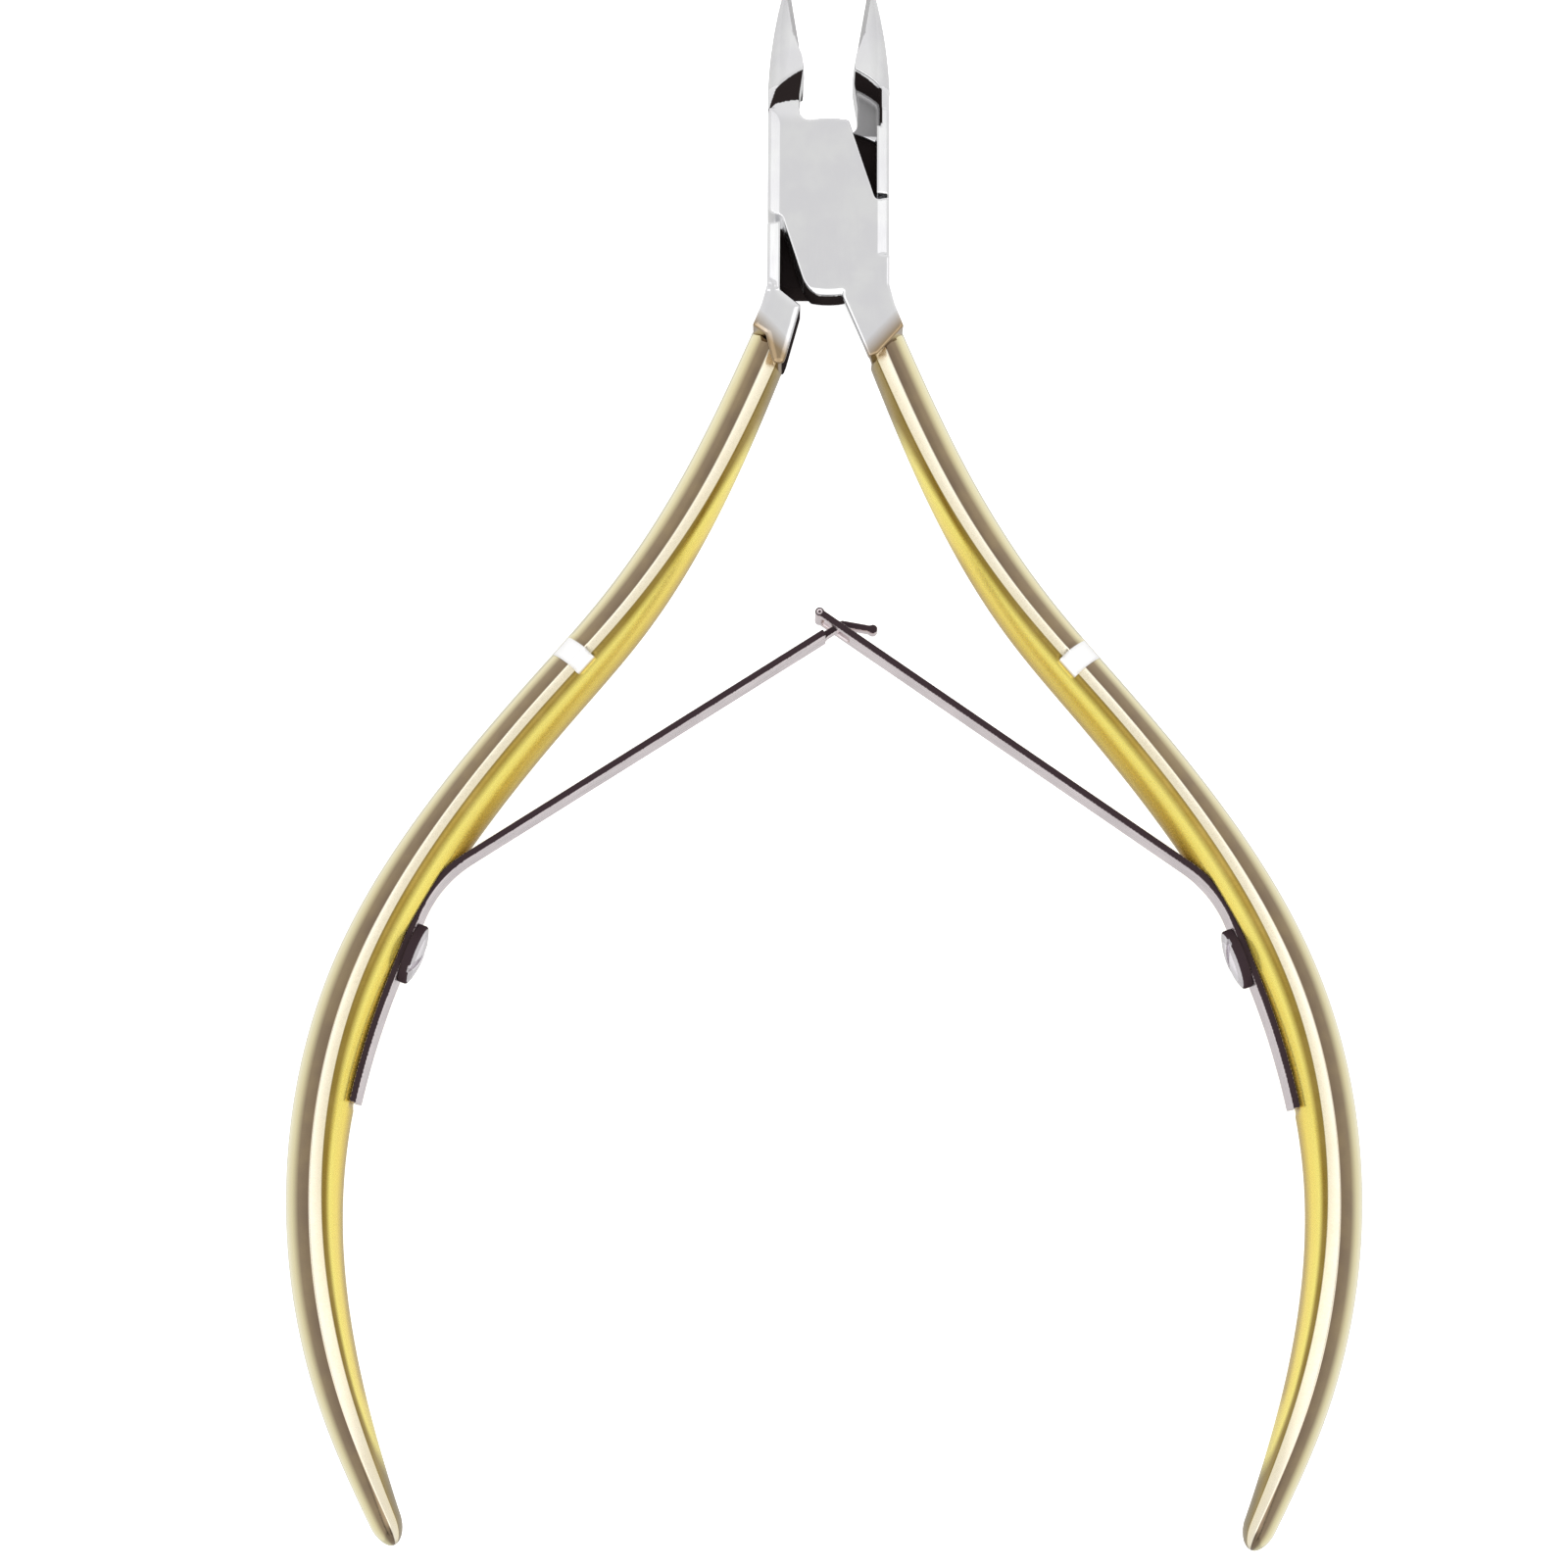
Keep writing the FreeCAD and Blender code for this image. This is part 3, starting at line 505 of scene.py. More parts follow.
# jaw: a wedge with bevelled faces and one straight cutting edge, on a narrower neck
EDGE_ANGLE = 9.0
EDGE_GAP = 0.03
EDGE_START_Y = 9.7
EDGE_BASE_Y = 10.4
EDGE_HOLLOW = 0.03
HOLLOW_GROWTH = 0.09
TIP_Y = 16.85
TIP_RADIUS = 0.12
JAW_BACK = (35.9, 7.27, 40.0)
JAW_BACK_START = 7
JAW_FALL = 0.39
SHOULDER_START = 9
SHOULDER_FALL = 0.11
SHOULDER_RADII = (0.15, 1.0)
NECK_INNER = -1.98
NECK_FOOT = 4.2
NECK_TOP = 8.0
NECK_CORNER = (-1.72, 9.75)
PAST_OUTSIDE = -5

# throat: the round hollow behind the bevel, shallow in front and deep behind; the circle is its ridge
THROAT = (1.185, 3.936, 6.45)
WALL_SPREAD = 0.52
WALL_GROWTH = 0.48
WALL_GROWTH_REACH = 2.4
BACK_SPREAD = 0.3
NECK_DIP = (5.6, 8.0, 0.5)
NECK_RISE = 0.2
NECK_FLOOR = 2.6
CHEEK_WALL = -3.45

# root: where the steel runs out into the handle, with a straight end on the half's outer face and a
# round tongue on its inner face
ROOT_CORNER = (1.8, -6.75)
ROOT_INNER_LINE = [(4.05, -3.2), (3.2, -3.2), (3.2, -5.6), ROOT_CORNER]
ROOT_STRAIGHT_END = [(2.7, -10.25), (3.3, -10.0)]
ROOT_TONGUE_END = [
    (2.72, -10.2), (2.9, -10.6), (3.25, -10.75), (3.6, -10.6), (3.75, -10.2), (4.1, -8.7)]
ROOT_OUTER_LINE = [(4.98, -8.1), (4.4, -6.6), (4.05, -5.3)]
ROOT_WEB = [(0.95, -4.4), (0.95, -6.15), (2.7, -10.25), (3.6, -8.0), (3.6, -4.4)]
STRAIGHT_BEVEL = (-0.12, 30)
TONGUE_BEVEL = (-0.36, 24)
ROOT_ROUNDING = 0.08
ROOT_WALL_FACING = (-0.966, -0.26)
ROOT_LEAN = 0.12
WEB_LEAN = 0.15
ROOT_LEAN_TOP = 5.4
ROOT_UNDERCUT = 0.4

PIVOT_RADIUS = 1.5
PIVOT_SKIN = 0.1
PIVOT_CLEARANCE = 0.04
SINK_DEPTH = 1.1
SINK_FLARE = 0.8
DRIVER_SLOT_HALF = 0.3
DRIVER_SLOT_DEPTH = 0.5


def facet(across, start, depth, angle=20.0):
    """A shallow slope that takes the flat face down towards an edge."""
    lean = math.radians(angle)
    return (across - start) * math.sin(lean) + (depth - MID) * math.cos(lean)


def lap_plan(x, y):
    """The lap's outline, narrowed so that the other half's flanks can swing in beside it."""
    plan = meet(np.hypot(x, y) - LAP_RADIUS, np.abs(x) - HALF_WIDTH, 0.2)
    wall = FLANK_INNER - FLANK_CLEARANCE
    turn = math.radians(CLOSING)
    ledge = WEDGE_LEDGE * math.cos(turn) - FLANK_INNER * math.sin(turn)
    for side, fillet in WEDGE_FILLETS:
        along, across = side * math.cos(turn), side * math.sin(turn)
        wedge = meet(wall - (x * along + y * across), ledge - (y * along - x * across), 0.3)
        plan = carve(plan, wedge, fillet)
    return plan


def lap_rim(x, y, z, half):
    """The lap's foot: rounded off at the face and cut back underneath."""
    if half == REAR:
        return -REAR_LAP_FOOT - y
    radius = np.hypot(x, y)
    width, angle = FOOT_BEVEL
    under = radius - LAP_RADIUS + FOOT_LEAN * np.maximum(FOOT_LEAN_TOP - z, 0)
    rim = meet(under, facet(radius, LAP_RADIUS - width, np.abs(z - MID), angle), 0.25)
    return np.where(y < 0, rim, -1)


def past_edge(x, y):
    """How far past the cutting edge, towards the other jaw, each point lies."""
    return x + y * math.tan(math.radians(EDGE_ANGLE)) + EDGE_GAP


def jaw_plan(x, y):
    """The outline of jaw and neck on the inner side; the outer side is cut later."""
    base_edge = -past_edge(0, EDGE_BASE_Y)
    return polygon(x, y, [
        (PAST_OUTSIDE, NECK_FOOT), (NECK_INNER, NECK_FOOT), (NECK_INNER, NECK_TOP), NECK_CORNER,
        (base_edge + 0.1, EDGE_BASE_Y), (base_edge + 0.6, TIP_Y), (PAST_OUTSIDE, TIP_Y)])


def throat_wall(x, y, depth, floor, share=1.0):
    """The wall that falls from the ridge to the floor of the throat, longer towards the inner side."""
    spread = WALL_SPREAD + WALL_GROWTH * np.clip(x + HALF_WIDTH, 0, WALL_GROWTH_REACH)
    lean = share * spread / floor
    return (past_circle(x, y, THROAT) + lean * depth) / np.hypot(1, lean)


def jaw_cuts(x, y, z):
    """What the throat, the bevels and the cutting edge leave of the jaw and neck."""
    depth = np.abs(z - MID)
    past = np.where(y > THROAT[1], np.maximum(past_circle(x, y, THROAT), 0), 0)
    bevel = (depth - MID + JAW_FALL * past) / math.hypot(1, JAW_FALL)
    shoulder = np.clip(SHOULDER_RADII[1] - (y - SHOULDER_START) * SHOULDER_FALL, *SHOULDER_RADII)
    on_back = y > JAW_BACK_START
    outer = np.where(on_back, past_circle(x, y, JAW_BACK), -1)
    left = meet(bevel, outer, np.where(on_back, shoulder, 0.1))
    hollow = EDGE_HOLLOW + HOLLOW_GROWTH * np.clip(y - EDGE_BASE_Y - 0.5, 0, 6)
    inner = (past_edge(x, y) + depth * hollow) * 0.97
    left = meet(left, np.where(y > EDGE_START_Y, inner, -1), 0.03)
    left = meet(left, y - TIP_Y, TIP_RADIUS)
    low, high, dip = NECK_DIP
    part = np.clip((y - low) / (high - low), 0, 1)
    neck_face = 2 * MID + NECK_RISE - (dip + NECK_RISE) * part * part * (3 - 2 * part)
    front_cut = meet(throat_wall(x, y, 2 * MID - z, dip), neck_face - z, 0.2)
    left = carve(left, np.where(y > 5, front_cut, 1), 0.18)
    back_cut = meet(throat_wall(x, y, z, NECK_FLOOR, BACK_SPREAD), z - NECK_FLOOR, 0.3)
    back_cut = meet(back_cut, CHEEK_WALL - x, 0.2)
    return carve(left, np.where(y > 4, back_cut, 1), 0.12)


def root_side(x, y, z, half):
    """How far past the root's inner side wall each point lies; the wall leans, and more so behind."""
    facing_x, facing_y = ROOT_WALL_FACING
    wall = facing_x * (x - ROOT_CORNER[0]) + facing_y * (y - ROOT_CORNER[1])
    if half == REAR:
        return wall + ROOT_UNDERCUT * np.maximum(z - MID, 0)
    return wall + ROOT_LEAN * np.maximum(ROOT_LEAN_TOP - z, 0) + ROOT_UNDERCUT * np.maximum(MID - z, 0)


def bevelled_plate(plan, z, low, high, bevel):
    """A plate with the given outline between two heights, bevelled along its edge."""
    start, angle = bevel
    plate = meet(plan, between(z, low, high))
    return meet(plate, facet(plan, start, np.abs(z - MID), angle), ROOT_ROUNDING)


def root_field(x, y, z, half):
    """The steel root of the handle; the front half has a web that ties it to the lap."""
    straight = polygon(x, y, ROOT_INNER_LINE + ROOT_STRAIGHT_END + ROOT_OUTER_LINE)
    tongue = polygon(x, y, ROOT_INNER_LINE + ROOT_TONGUE_END + ROOT_OUTER_LINE)
    outer_face = bevelled_plate(straight, z, MID, 2 * MID, STRAIGHT_BEVEL)
    inner_face = bevelled_plate(tongue, z, 0, MID, TONGUE_BEVEL)
    root = meet(join(outer_face, inner_face), root_side(x, y, z, half), 0.1)
    if half == REAR:
        return root
    web = polygon(x, y, ROOT_WEB) + WEB_LEAN * np.maximum(ROOT_LEAN_TOP - z, 0)
    return join(root, bevelled_plate(web, z, LAP_BACK, 2 * MID, STRAIGHT_BEVEL))


def head_field(half):
    """One steel head: lap, jaw and neck, the flanks beside the well, and the root of the handle."""
    def field(x, y, z):
        radius, side = np.hypot(x, y), np.abs(x)
        blank = join(lap_plan(x, y), jaw_plan(x, y), LAP_TO_JAW)
        upper = meet(blank, between(z, LAP_BACK, 2 * MID))
        upper = meet(upper, lap_rim(x, y, z, half))
        well = meet(radius - WELL_RADIUS, z - LAP_BACK)
        lower = carve(blank, meet(well, -FLANK_INNER - x))
        lower = meet(np.where(y > NECK_FOOT, lower, 1), between(z, 0, LAP_BACK + 0.1))
        body = meet(join(upper, lower), jaw_cuts(x, y, z))
        side_box = meet(between(side, FLANK_INNER, HALF_WIDTH), between(np.abs(y), *FLANK_REACH))
        body = join(body, meet(meet(side_box, between(z, 0, FLANK_TOP)), x * y + 0.01))
        cheek = meet(facet(side, CHEEK_START, np.abs(z - MID)), side - HALF_WIDTH, 0.18)
        body = meet(body, np.where((y > CHEEK_REACH[0]) & (y < CHEEK_REACH[1]), cheek, -1))
        body = join(body, carve(root_field(x, y, z, half), well), 0.02)
        if half == FRONT:
            return carve(body, meet(radius - PIVOT_RADIUS, z - 2 * MID + PIVOT_SKIN))
        sink = np.clip((z - 2 * MID + SINK_DEPTH) / SINK_DEPTH, 0, 1) * SINK_FLARE
        return carve(body, radius - PIVOT_RADIUS - PIVOT_CLEARANCE - sink)
    return field


def painted_shade_on_head(points, half):
    """How much dark, dull shade is painted at each point: mating faces, throat walls and side walls get
    it all.
    """
    x, y, z = points.T
    radius = np.hypot(x, y)
    depth = np.abs(z - MID)
    lap_side = (radius < WELL_RADIUS + 0.1) | (y < -5.3)
    mating = (depth < 0.3) & lap_side & (np.abs(x) < FLANK_INNER + 0.1) & (y > -7.5)
    throat = (past_circle(x, y, THROAT) < -0.06) & (y > 5.9)
    on_wall = np.abs(throat_wall(x, y, 2 * MID - z, NECK_DIP[2])) < 0.1
    front_wall = throat & on_wall & (z > MID + 1)
    behind = (z < MID) & throat & (x > CHEEK_WALL - 0.1)
    back_wall = behind & (z < NECK_FLOOR - 0.2)
    edge = (y > EDGE_BASE_Y) & (past_edge(x, y) + depth * 0.05 > -0.3) & (depth < 1.9)
    if half == FRONT:
        wall = (y < 0) & (radius > 5.3) & (x < 1.1) & (z < 5.75) & (z > LAP_BACK - 0.1)
    else:
        foot = (y < 0.1 - REAR_LAP_FOOT) & (y > -5.5) & (z > LAP_BACK - 0.1) & (np.abs(x) < FLANK_INNER)
        wall = foot | (root_side(x, y, z, half) > -0.2) & (y < -5.6) & (z > 0.35)
    outer = past_circle(x, y, JAW_BACK)
    # less shade is painted behind the throat and on the cutting edge, and a little towards the jaw's
    # back
    jaw_side = np.where(y > 8.5, 0.26 * np.clip(1 + outer / 1.3, 0, 1), 0)
    cases = [mating, front_wall, back_wall, behind, wall, edge]
    return np.select(cases, [1.0, 1.0, 1.0, 0.55, 1.0, 0.5], jaw_side)


def painted_seam_shadow(points):
    """How brown each point is: a brown shadow is painted on the root along the seam where the gold
    plating meets it.
    """
    run = np.array(PLATING_OUTER) - np.array(PLATING_INNER)
    gap = points[:, :2] - np.array(PLATING_INNER)
    past = (gap[:, 0] * run[1] - gap[:, 1] * run[0]) / np.hypot(*run)
    return np.where(points[:, 1] < -7, np.interp(past, (-1.0, 0.0), (0, 1)), 0.0)


def build_head(half, materials, step=0.07):
    low = (-HALF_WIDTH - 0.3, -11.2, -0.3)
    high = (5.4, TIP_Y + 0.3, 2 * MID + 0.3)
    points, quads = surface_of(head_field(half), low, high, step)
    # dark shade painted in the recesses, and a brown shadow painted along the plating seam
    values = {"painted_shade": painted_shade_on_head(points, half), "seam_shadow": painted_seam_shadow(points)}
    piece = make_piece(half + "_head", points, quads, half, materials["steel"], values)
    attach(piece, BODY[half])
    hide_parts(half + "_half_head")


def pivot_field(x, y, z):
    """A countersunk screw put in from behind; its end lies under a thin skin of the front face."""
    past = np.hypot(x, y) - PIVOT_RADIUS
    shank = meet(past, between(z, 0, 2 * MID - PIVOT_SKIN), 0.03)
    flare = SINK_FLARE * np.clip((SINK_DEPTH - z) / SINK_DEPTH, 0, 1)
    head = meet(past - flare, between(z, 0, SINK_DEPTH), 0.04)
    return carve(join(shank, head), meet(np.abs(y) - DRIVER_SLOT_HALF, z - DRIVER_SLOT_DEPTH), 0.03)


def build_pivot_screw(materials, step=0.06):
    points, quads = surface_of(pivot_field, (-2.6, -2.6, -0.3), (2.6, 2.6, 2 * MID + 0.3), step)
    piece = make_piece("pivot_screw_visual", points, quads, FRONT, materials["screw"])
    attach(piece, BODY[FRONT])
    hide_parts("pivot_screw")


# ---------------------------------------------------------------- the leaf's line and its seat

LEAF_THICKNESS = 0.45
LEAF_GAP = 0.04
LEAF_SCREW = np.array([27.1, -49.4])
LEAF_APEX = {FRONT: np.array([0.71, -27.9]), REAR: np.array([-0.71, -27.9])}
ARM_SLOPE = {FRONT: 34.7, REAR: 32.9}
ARM_LEAD = 8
BASE_HEADING = 20.5
BEND_RADIUS = 8.0
SCREW_LAND = 2.2
TAIL_LENGTH, TAIL_RADIUS = 8.1, 50.0
SEAT_REACH = 4


def arc_points(start, heading, radius, turn, steps):
    """Points of an arc that leaves start along heading and turns towards the nipper's middle."""
    inside = np.array([heading[1], -heading[0]])
    centre = start + inside * radius
    angles = np.radians(np.linspace(0, turn, steps + 1)[1:])
    return [centre - inside * radius * math.cos(a) + heading * radius * math.sin(a) for a in angles]


def leaf_line(half):
    """The leaf's middle line, drawn on the right side, from its arm to its tail, and its directions."""
    slope, lean = math.radians(ARM_SLOPE[half]), math.radians(BASE_HEADING)
    arm = np.array([math.cos(slope), -math.sin(slope)])
    base = np.array([math.sin(lean), -math.cos(lean)])
    apex = LEAF_APEX[half]
    gap = LEAF_SCREW - apex
    along_arm = (gap[0] * base[1] - gap[1] * base[0]) / (arm[0] * base[1] - arm[1] * base[0])
    turn = math.degrees(math.acos(arm @ base))
    tangent = BEND_RADIUS * math.tan(math.radians(turn / 2))
    corner = apex + arm * along_arm
    bend_start, bend_end = corner - arm * tangent, corner + base * tangent
    land_end = LEAF_SCREW + base * SCREW_LAND
    tail_turn = math.degrees(TAIL_LENGTH / TAIL_RADIUS)
    route = [bend_start - arm * ARM_LEAD, bend_start]
    route += arc_points(bend_start, arm, BEND_RADIUS, turn, 16)
    route += [land_end] + arc_points(land_end, base, TAIL_RADIUS, tail_turn, 12)
    tail_lean = math.radians(BASE_HEADING - tail_turn)
    tail = np.array([math.sin(tail_lean), -math.cos(tail_lean)])
    return {"arm": arm, "base": base, "tail": tail, "hinge": (bend_start + bend_end) / 2,
            "route": [tuple(point) for point in route]}


def seat_side(flat, line):
    """Each point's nearest run: how far past its ends, how far to its outer side, and that side."""
    route = np.array(line["route"])
    runs = np.diff(route, axis=0)
    runs /= np.hypot(*runs.T)[:, None]
    lengths = np.hypot(*np.diff(route, axis=0).T)
    gap = flat[:, None, :2] - route[None, :-1]
    along = np.einsum("pri,ri->pr", gap, runs)
    outward = np.column_stack([-runs[:, 1], runs[:, 0]])
    side = np.einsum("pri,ri->pr", gap, outward)
    miss = np.hypot(np.maximum(between(along, 0, lengths), 0), side)
    best = np.argmin(miss, axis=1)
    pick = np.arange(len(flat)), best
    return along[pick] - np.clip(along[pick], 0, lengths[best]), side[pick], outward[best]


def beyond_leaf(flat, line):
    """True for points in the leaf or a little way to its inner side, clear of the ends of its runs."""
    past, side, _ = seat_side(flat, line)
    return (np.abs(past) < 0.01) & (side < LEAF_THICKNESS / 2 + LEAF_GAP) & (side > -SEAT_REACH)


def on_seat(flat, line):
    """The points moved straight out to the face that the leaf lies on."""
    _, side, outward = seat_side(flat, line)
    moved = flat.copy()
    moved[:, :2] += outward * (LEAF_THICKNESS / 2 + LEAF_GAP - side)[:, None]
    return moved


# ---------------------------------------------------------------- the gold handles

# x, y, then the width of the back, the front chamfer and the belly, and half the height
STATIONS = {
    "root": (2.95, -7.4, 1.75, 0.8, 1.0, 2.3),
    "neck": (8.3, -19.3, 1.88, 0.66, 1.45, 2.6),
    "shoulder": (13.4, -27.1, 1.8, 0.56, 1.95, 2.9),
    "waist": (18.0, -32.5, 1.7, 0.55, 2.15, 2.98),
    "elbow": (24.0, -40.1, 1.75, 0.55, 2.25, 2.98),
    "seat": (30.15, -51.2, 1.87, 0.65, 2.25, 2.98),
    "palm": (32.45, -64.5, 1.88, 0.75, 1.75, 2.98),
    "wrist": (30.35, -77.4, 1.7, 0.8, 1.3, 2.8),
    "finger": (26.45, -86.65, 1.3, 0.4, 0.42, 1.5),
}
CHAMFER_DROP = 0.4
TIP_ROUNDING = 1.6
# a mark pressed into the handle and painted pure white, with added roughness
MARK = (16.6, -30.1)
MARK_LENGTH = 1.5
MARK_DEPTH = 0.14
MARK_SPAN = (-0.7, 1.9)
# near the root and the tip the belly's yellow fades into the olive of the painted shade line
YELLOW_RUN = (4.0, 17.0)
YELLOW_END = (3.0, 10.0)
RING_GAP = 0.4
BACK_STEPS = 22
BELLY_SHARES = (1.0, 0.97, 0.92, 0.85, 0.76, 0.68, 0.625, 0.58, 0.45, 0.3, 0.15, 0.0)
BACK_END, RIDGE, BELLY_START = 0.46, 0.5, 0.64
YELLOW_START = 0.66
PRESS_HALF_HEIGHT = 1.6


def spline(places, values, wanted):
    """A natural cubic curve through the values."""
    gap = np.diff(places)
    rise = np.diff(values, axis=0) / gap[:, None]
    size = len(places)
    matrix = np.eye(size)
    right = np.zeros_like(values)
    for i in range(1, size - 1):
        matrix[i, i - 1:i + 2] = gap[i - 1], 2 * (gap[i - 1] + gap[i]), gap[i]
        right[i] = 6 * (rise[i] - rise[i - 1])
    bend = np.linalg.solve(matrix, right)
    span = np.clip(np.searchsorted(places, wanted) - 1, 0, size - 2)
    before = (wanted - places[span])[:, None]
    after = (places[span + 1] - wanted)[:, None]
    width = gap[span][:, None]
    return ((bend[span] * after ** 3 + bend[span + 1] * before ** 3) / (6 * width)
            + (values[span] / width - bend[span] * width / 6) * after
            + (values[span + 1] / width - bend[span + 1] * width / 6) * before)


def arc_offset(height, half_height, sag):
    """How far an arc of the given half height and sag stands out at a height."""
    radius = (half_height ** 2 + sag ** 2) / (2 * sag)
    return np.sqrt(radius ** 2 - height ** 2) - radius + sag


def handle_section(back, chamfer, belly, half_height):
    """Offsets across the handle, heights and the place across it (0 back, 0.5 ridge, 1 belly)."""
    rows = []
    for angle in np.linspace(-90, 90, BACK_STEPS + 1)[1:-1]:
        height = half_height * 0.995 * math.sin(math.radians(angle))
        offset = arc_offset(height, half_height, back)
        rows.append((offset, height, BACK_END * (1 - max(offset, 0) / back)))
    upper = [(0.0, half_height, RIDGE), (-chamfer * 0.1, half_height - 0.03, 0.52),
             (-chamfer * 0.9, half_height - CHAMFER_DROP * 0.88, 0.59)]
    lip_height = half_height - CHAMFER_DROP
    sag = belly - chamfer
    shares = BELLY_SHARES + tuple(-share for share in BELLY_SHARES[-2::-1])
    lower = []
    for share in shares:
        out = arc_offset(lip_height * share, lip_height, sag)
        place = BELLY_START + (1 - BELLY_START) * out / sag
        lower.append((-chamfer - out, lip_height * share, place))
    mirrored = [(offset, -height, across) for offset, height, across in reversed(upper)]
    return np.array(rows + upper + lower + mirrored)


def ring_places(length, mark_place):
    half = MARK_LENGTH / 2
    ahead = np.array([0.25, 0.5, half - 0.02, half + 0.04])
    near_mark = mark_place + np.concatenate([-ahead, [0], ahead])
    body = np.arange(0, length - TIP_ROUNDING, RING_GAP)
    body = body[np.abs(body - mark_place) > half + 0.1]
    tip = length - TIP_ROUNDING * (1 - np.sin(np.radians(np.linspace(0, 88, 12))))
    return np.sort(np.concatenate([body, near_mark, tip]))


def handle_mesh():
    """Rings of points along the handle, with the painted reflection and shade bands of the plating and
    the mark at every point.
    """
    rows = np.array(list(STATIONS.values()))
    chord = np.concatenate([[0], np.cumsum(np.hypot(*np.diff(rows[:, :2], axis=0).T))])
    fine = np.linspace(0, chord[-1], 2000)
    route = spline(chord, rows[:, :2], fine)
    run = np.concatenate([[0], np.cumsum(np.hypot(*np.diff(route, axis=0).T))])
    mark_place = run[np.argmin(np.hypot(route[:, 0] - MARK[0], route[:, 1] - MARK[1]))]
    places = ring_places(run[-1], mark_place)
    sizes = spline(chord, rows, np.interp(places, run, fine))
    ahead = spline(chord, rows[:, :2], np.minimum(np.interp(places, run, fine) + 0.01, chord[-1]))
    behind = spline(chord, rows[:, :2], np.interp(places, run, fine) - 0.02)
    points, across, white_mark = [], [], []
    for place, size, after, before in zip(places, sizes, ahead, behind):
        along = (after - before) / np.hypot(*(after - before))
        outward = np.array([-along[1], along[0]])
        section = handle_section(*size[2:6])
        into_tip = max(place - run[-1] + TIP_ROUNDING, 0) / TIP_ROUNDING
        shrink = math.sqrt(max(1 - into_tip ** 2, 0.0004))
        centre = (size[2] - size[4]) / 2
        offset = centre + (section[:, 0] - centre) * shrink
        height = section[:, 1] * shrink
        in_mark = (abs(place - mark_place) < MARK_LENGTH / 2) & (between(section[:, 0], *MARK_SPAN) < 0)
        in_mark = in_mark & (np.abs(height) > 0.9)
        height = height - np.sign(height) * MARK_DEPTH * in_mark
        plan = size[:2] + outward * offset[:, None]
        points.append(np.column_stack([plan, MID + height]))
        # near the root and the tip the belly's yellow fades to the olive of the painted shade line
        yellow = np.interp(place, YELLOW_RUN, (0, 1)) * np.interp(run[-1] - place, YELLOW_END, (0, 1))
        shade = section[:, 2]
        faded = YELLOW_START + (shade - YELLOW_START) * yellow
        across.append(np.where(shade > YELLOW_START, faded, shade))
        white_mark.append(in_mark)
    return np.array(points), np.concatenate(across), np.concatenate(white_mark).astype(float)


def ring_faces(rings, around):
    index = np.arange(rings * around).reshape(rings, around)
    after = np.roll(index, -1, axis=1)
    sides = np.stack([index[:-1], after[:-1], after[1:], index[1:]], axis=2).reshape(-1, 4)
    return [list(face) for face in sides] + [list(index[0][::-1]), list(index[-1])]


def cut_at_plating(piece):
    """Trims the handle where the plating starts and closes its end."""
    inner, outer = Vector((*PLATING_INNER, 0)) * MM, Vector((*PLATING_OUTER, 0)) * MM
    normal = (outer - inner).cross(Vector((0, 0, 1)))
    mesh = bmesh.new()
    mesh.from_mesh(piece.data)
    everything = mesh.verts[:] + mesh.edges[:] + mesh.faces[:]
    result = bmesh.ops.bisect_plane(mesh, geom=everything, plane_co=inner, plane_no=normal,
                                    clear_inner=True)
    rim = [item for item in result["geom_cut"] if isinstance(item, bmesh.types.BMEdge)]
    bmesh.ops.contextual_create(mesh, geom=rim)
    bmesh.ops.recalc_face_normals(mesh, faces=mesh.faces[:])
    mesh.to_mesh(piece.data)
    mesh.free()


def build_handle(half, materials):
    rings, across, white_mark = handle_mesh()
    line = leaf_line(half)
    flat = rings.reshape(-1, 3)
    in_leaf = to_line(flat[:, 0], flat[:, 1], line["route"]) < LEAF_THICKNESS / 2 + LEAF_GAP
    at_leaf_height = np.abs(flat[:, 2] - MID) < PRESS_HALF_HEIGHT
    pressed = at_leaf_height & (in_leaf | beyond_leaf(flat, line))
    flat = np.where(pressed[:, None], on_seat(flat, line), flat)
    faces = ring_faces(*rings.shape[:2])
    piece = make_piece(half + "_handle_visual", flat, faces, FRONT, materials["gold"],
                       {"across": across, "white_mark": white_mark})
    cut_at_plating(piece)
    if half == REAR:
        piece.data.transform(HALF_TURN)
    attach(piece, BODY[half])
    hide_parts(HAND[half] + "_handle")


# ---------------------------------------------------------------- the leaf spring and its screws

LEAF_WIDTH = 3.0
LEAF_ROUNDING = 0.06
WINDOW = (-1.14, 1.1)
WINDOW_HALF = 0.8
CURL_PLACE = 1.42
CURL_RADIUS = 0.3
CURL_EYE = 0.1
TONGUE = (-0.4, 1.0)
TONGUE_HALF = 0.52
TONGUE_TIP = np.array([-2.0, -0.35])
TONGUE_BEAD = 0.32
# how far in from the leaf's edges dark shade is painted
EDGE_SHADE_BAND = 0.04
BLEND_REACH = 1.3

LEAF_SCREW_RADIUS = 1.98
DOME_DROP, DOME_RADIUS = 4.3, 5.25
SCREW_SLOT_ACROSS = (0.8, 0.6)
SCREW_SLOT_HALF = 0.28
SCREW_SLOT_FLOOR = 0.5
SHANK_RADIUS = 0.78
SHANK_LENGTH = 1.2
# shade painted on the screw head: dark at its rim, half dark in a ring inside it, none at its bright
# centre
PAINTED_DARK_RIM = (1.84, 1.0)
SHADED_RIM = (1.35, 0.4)


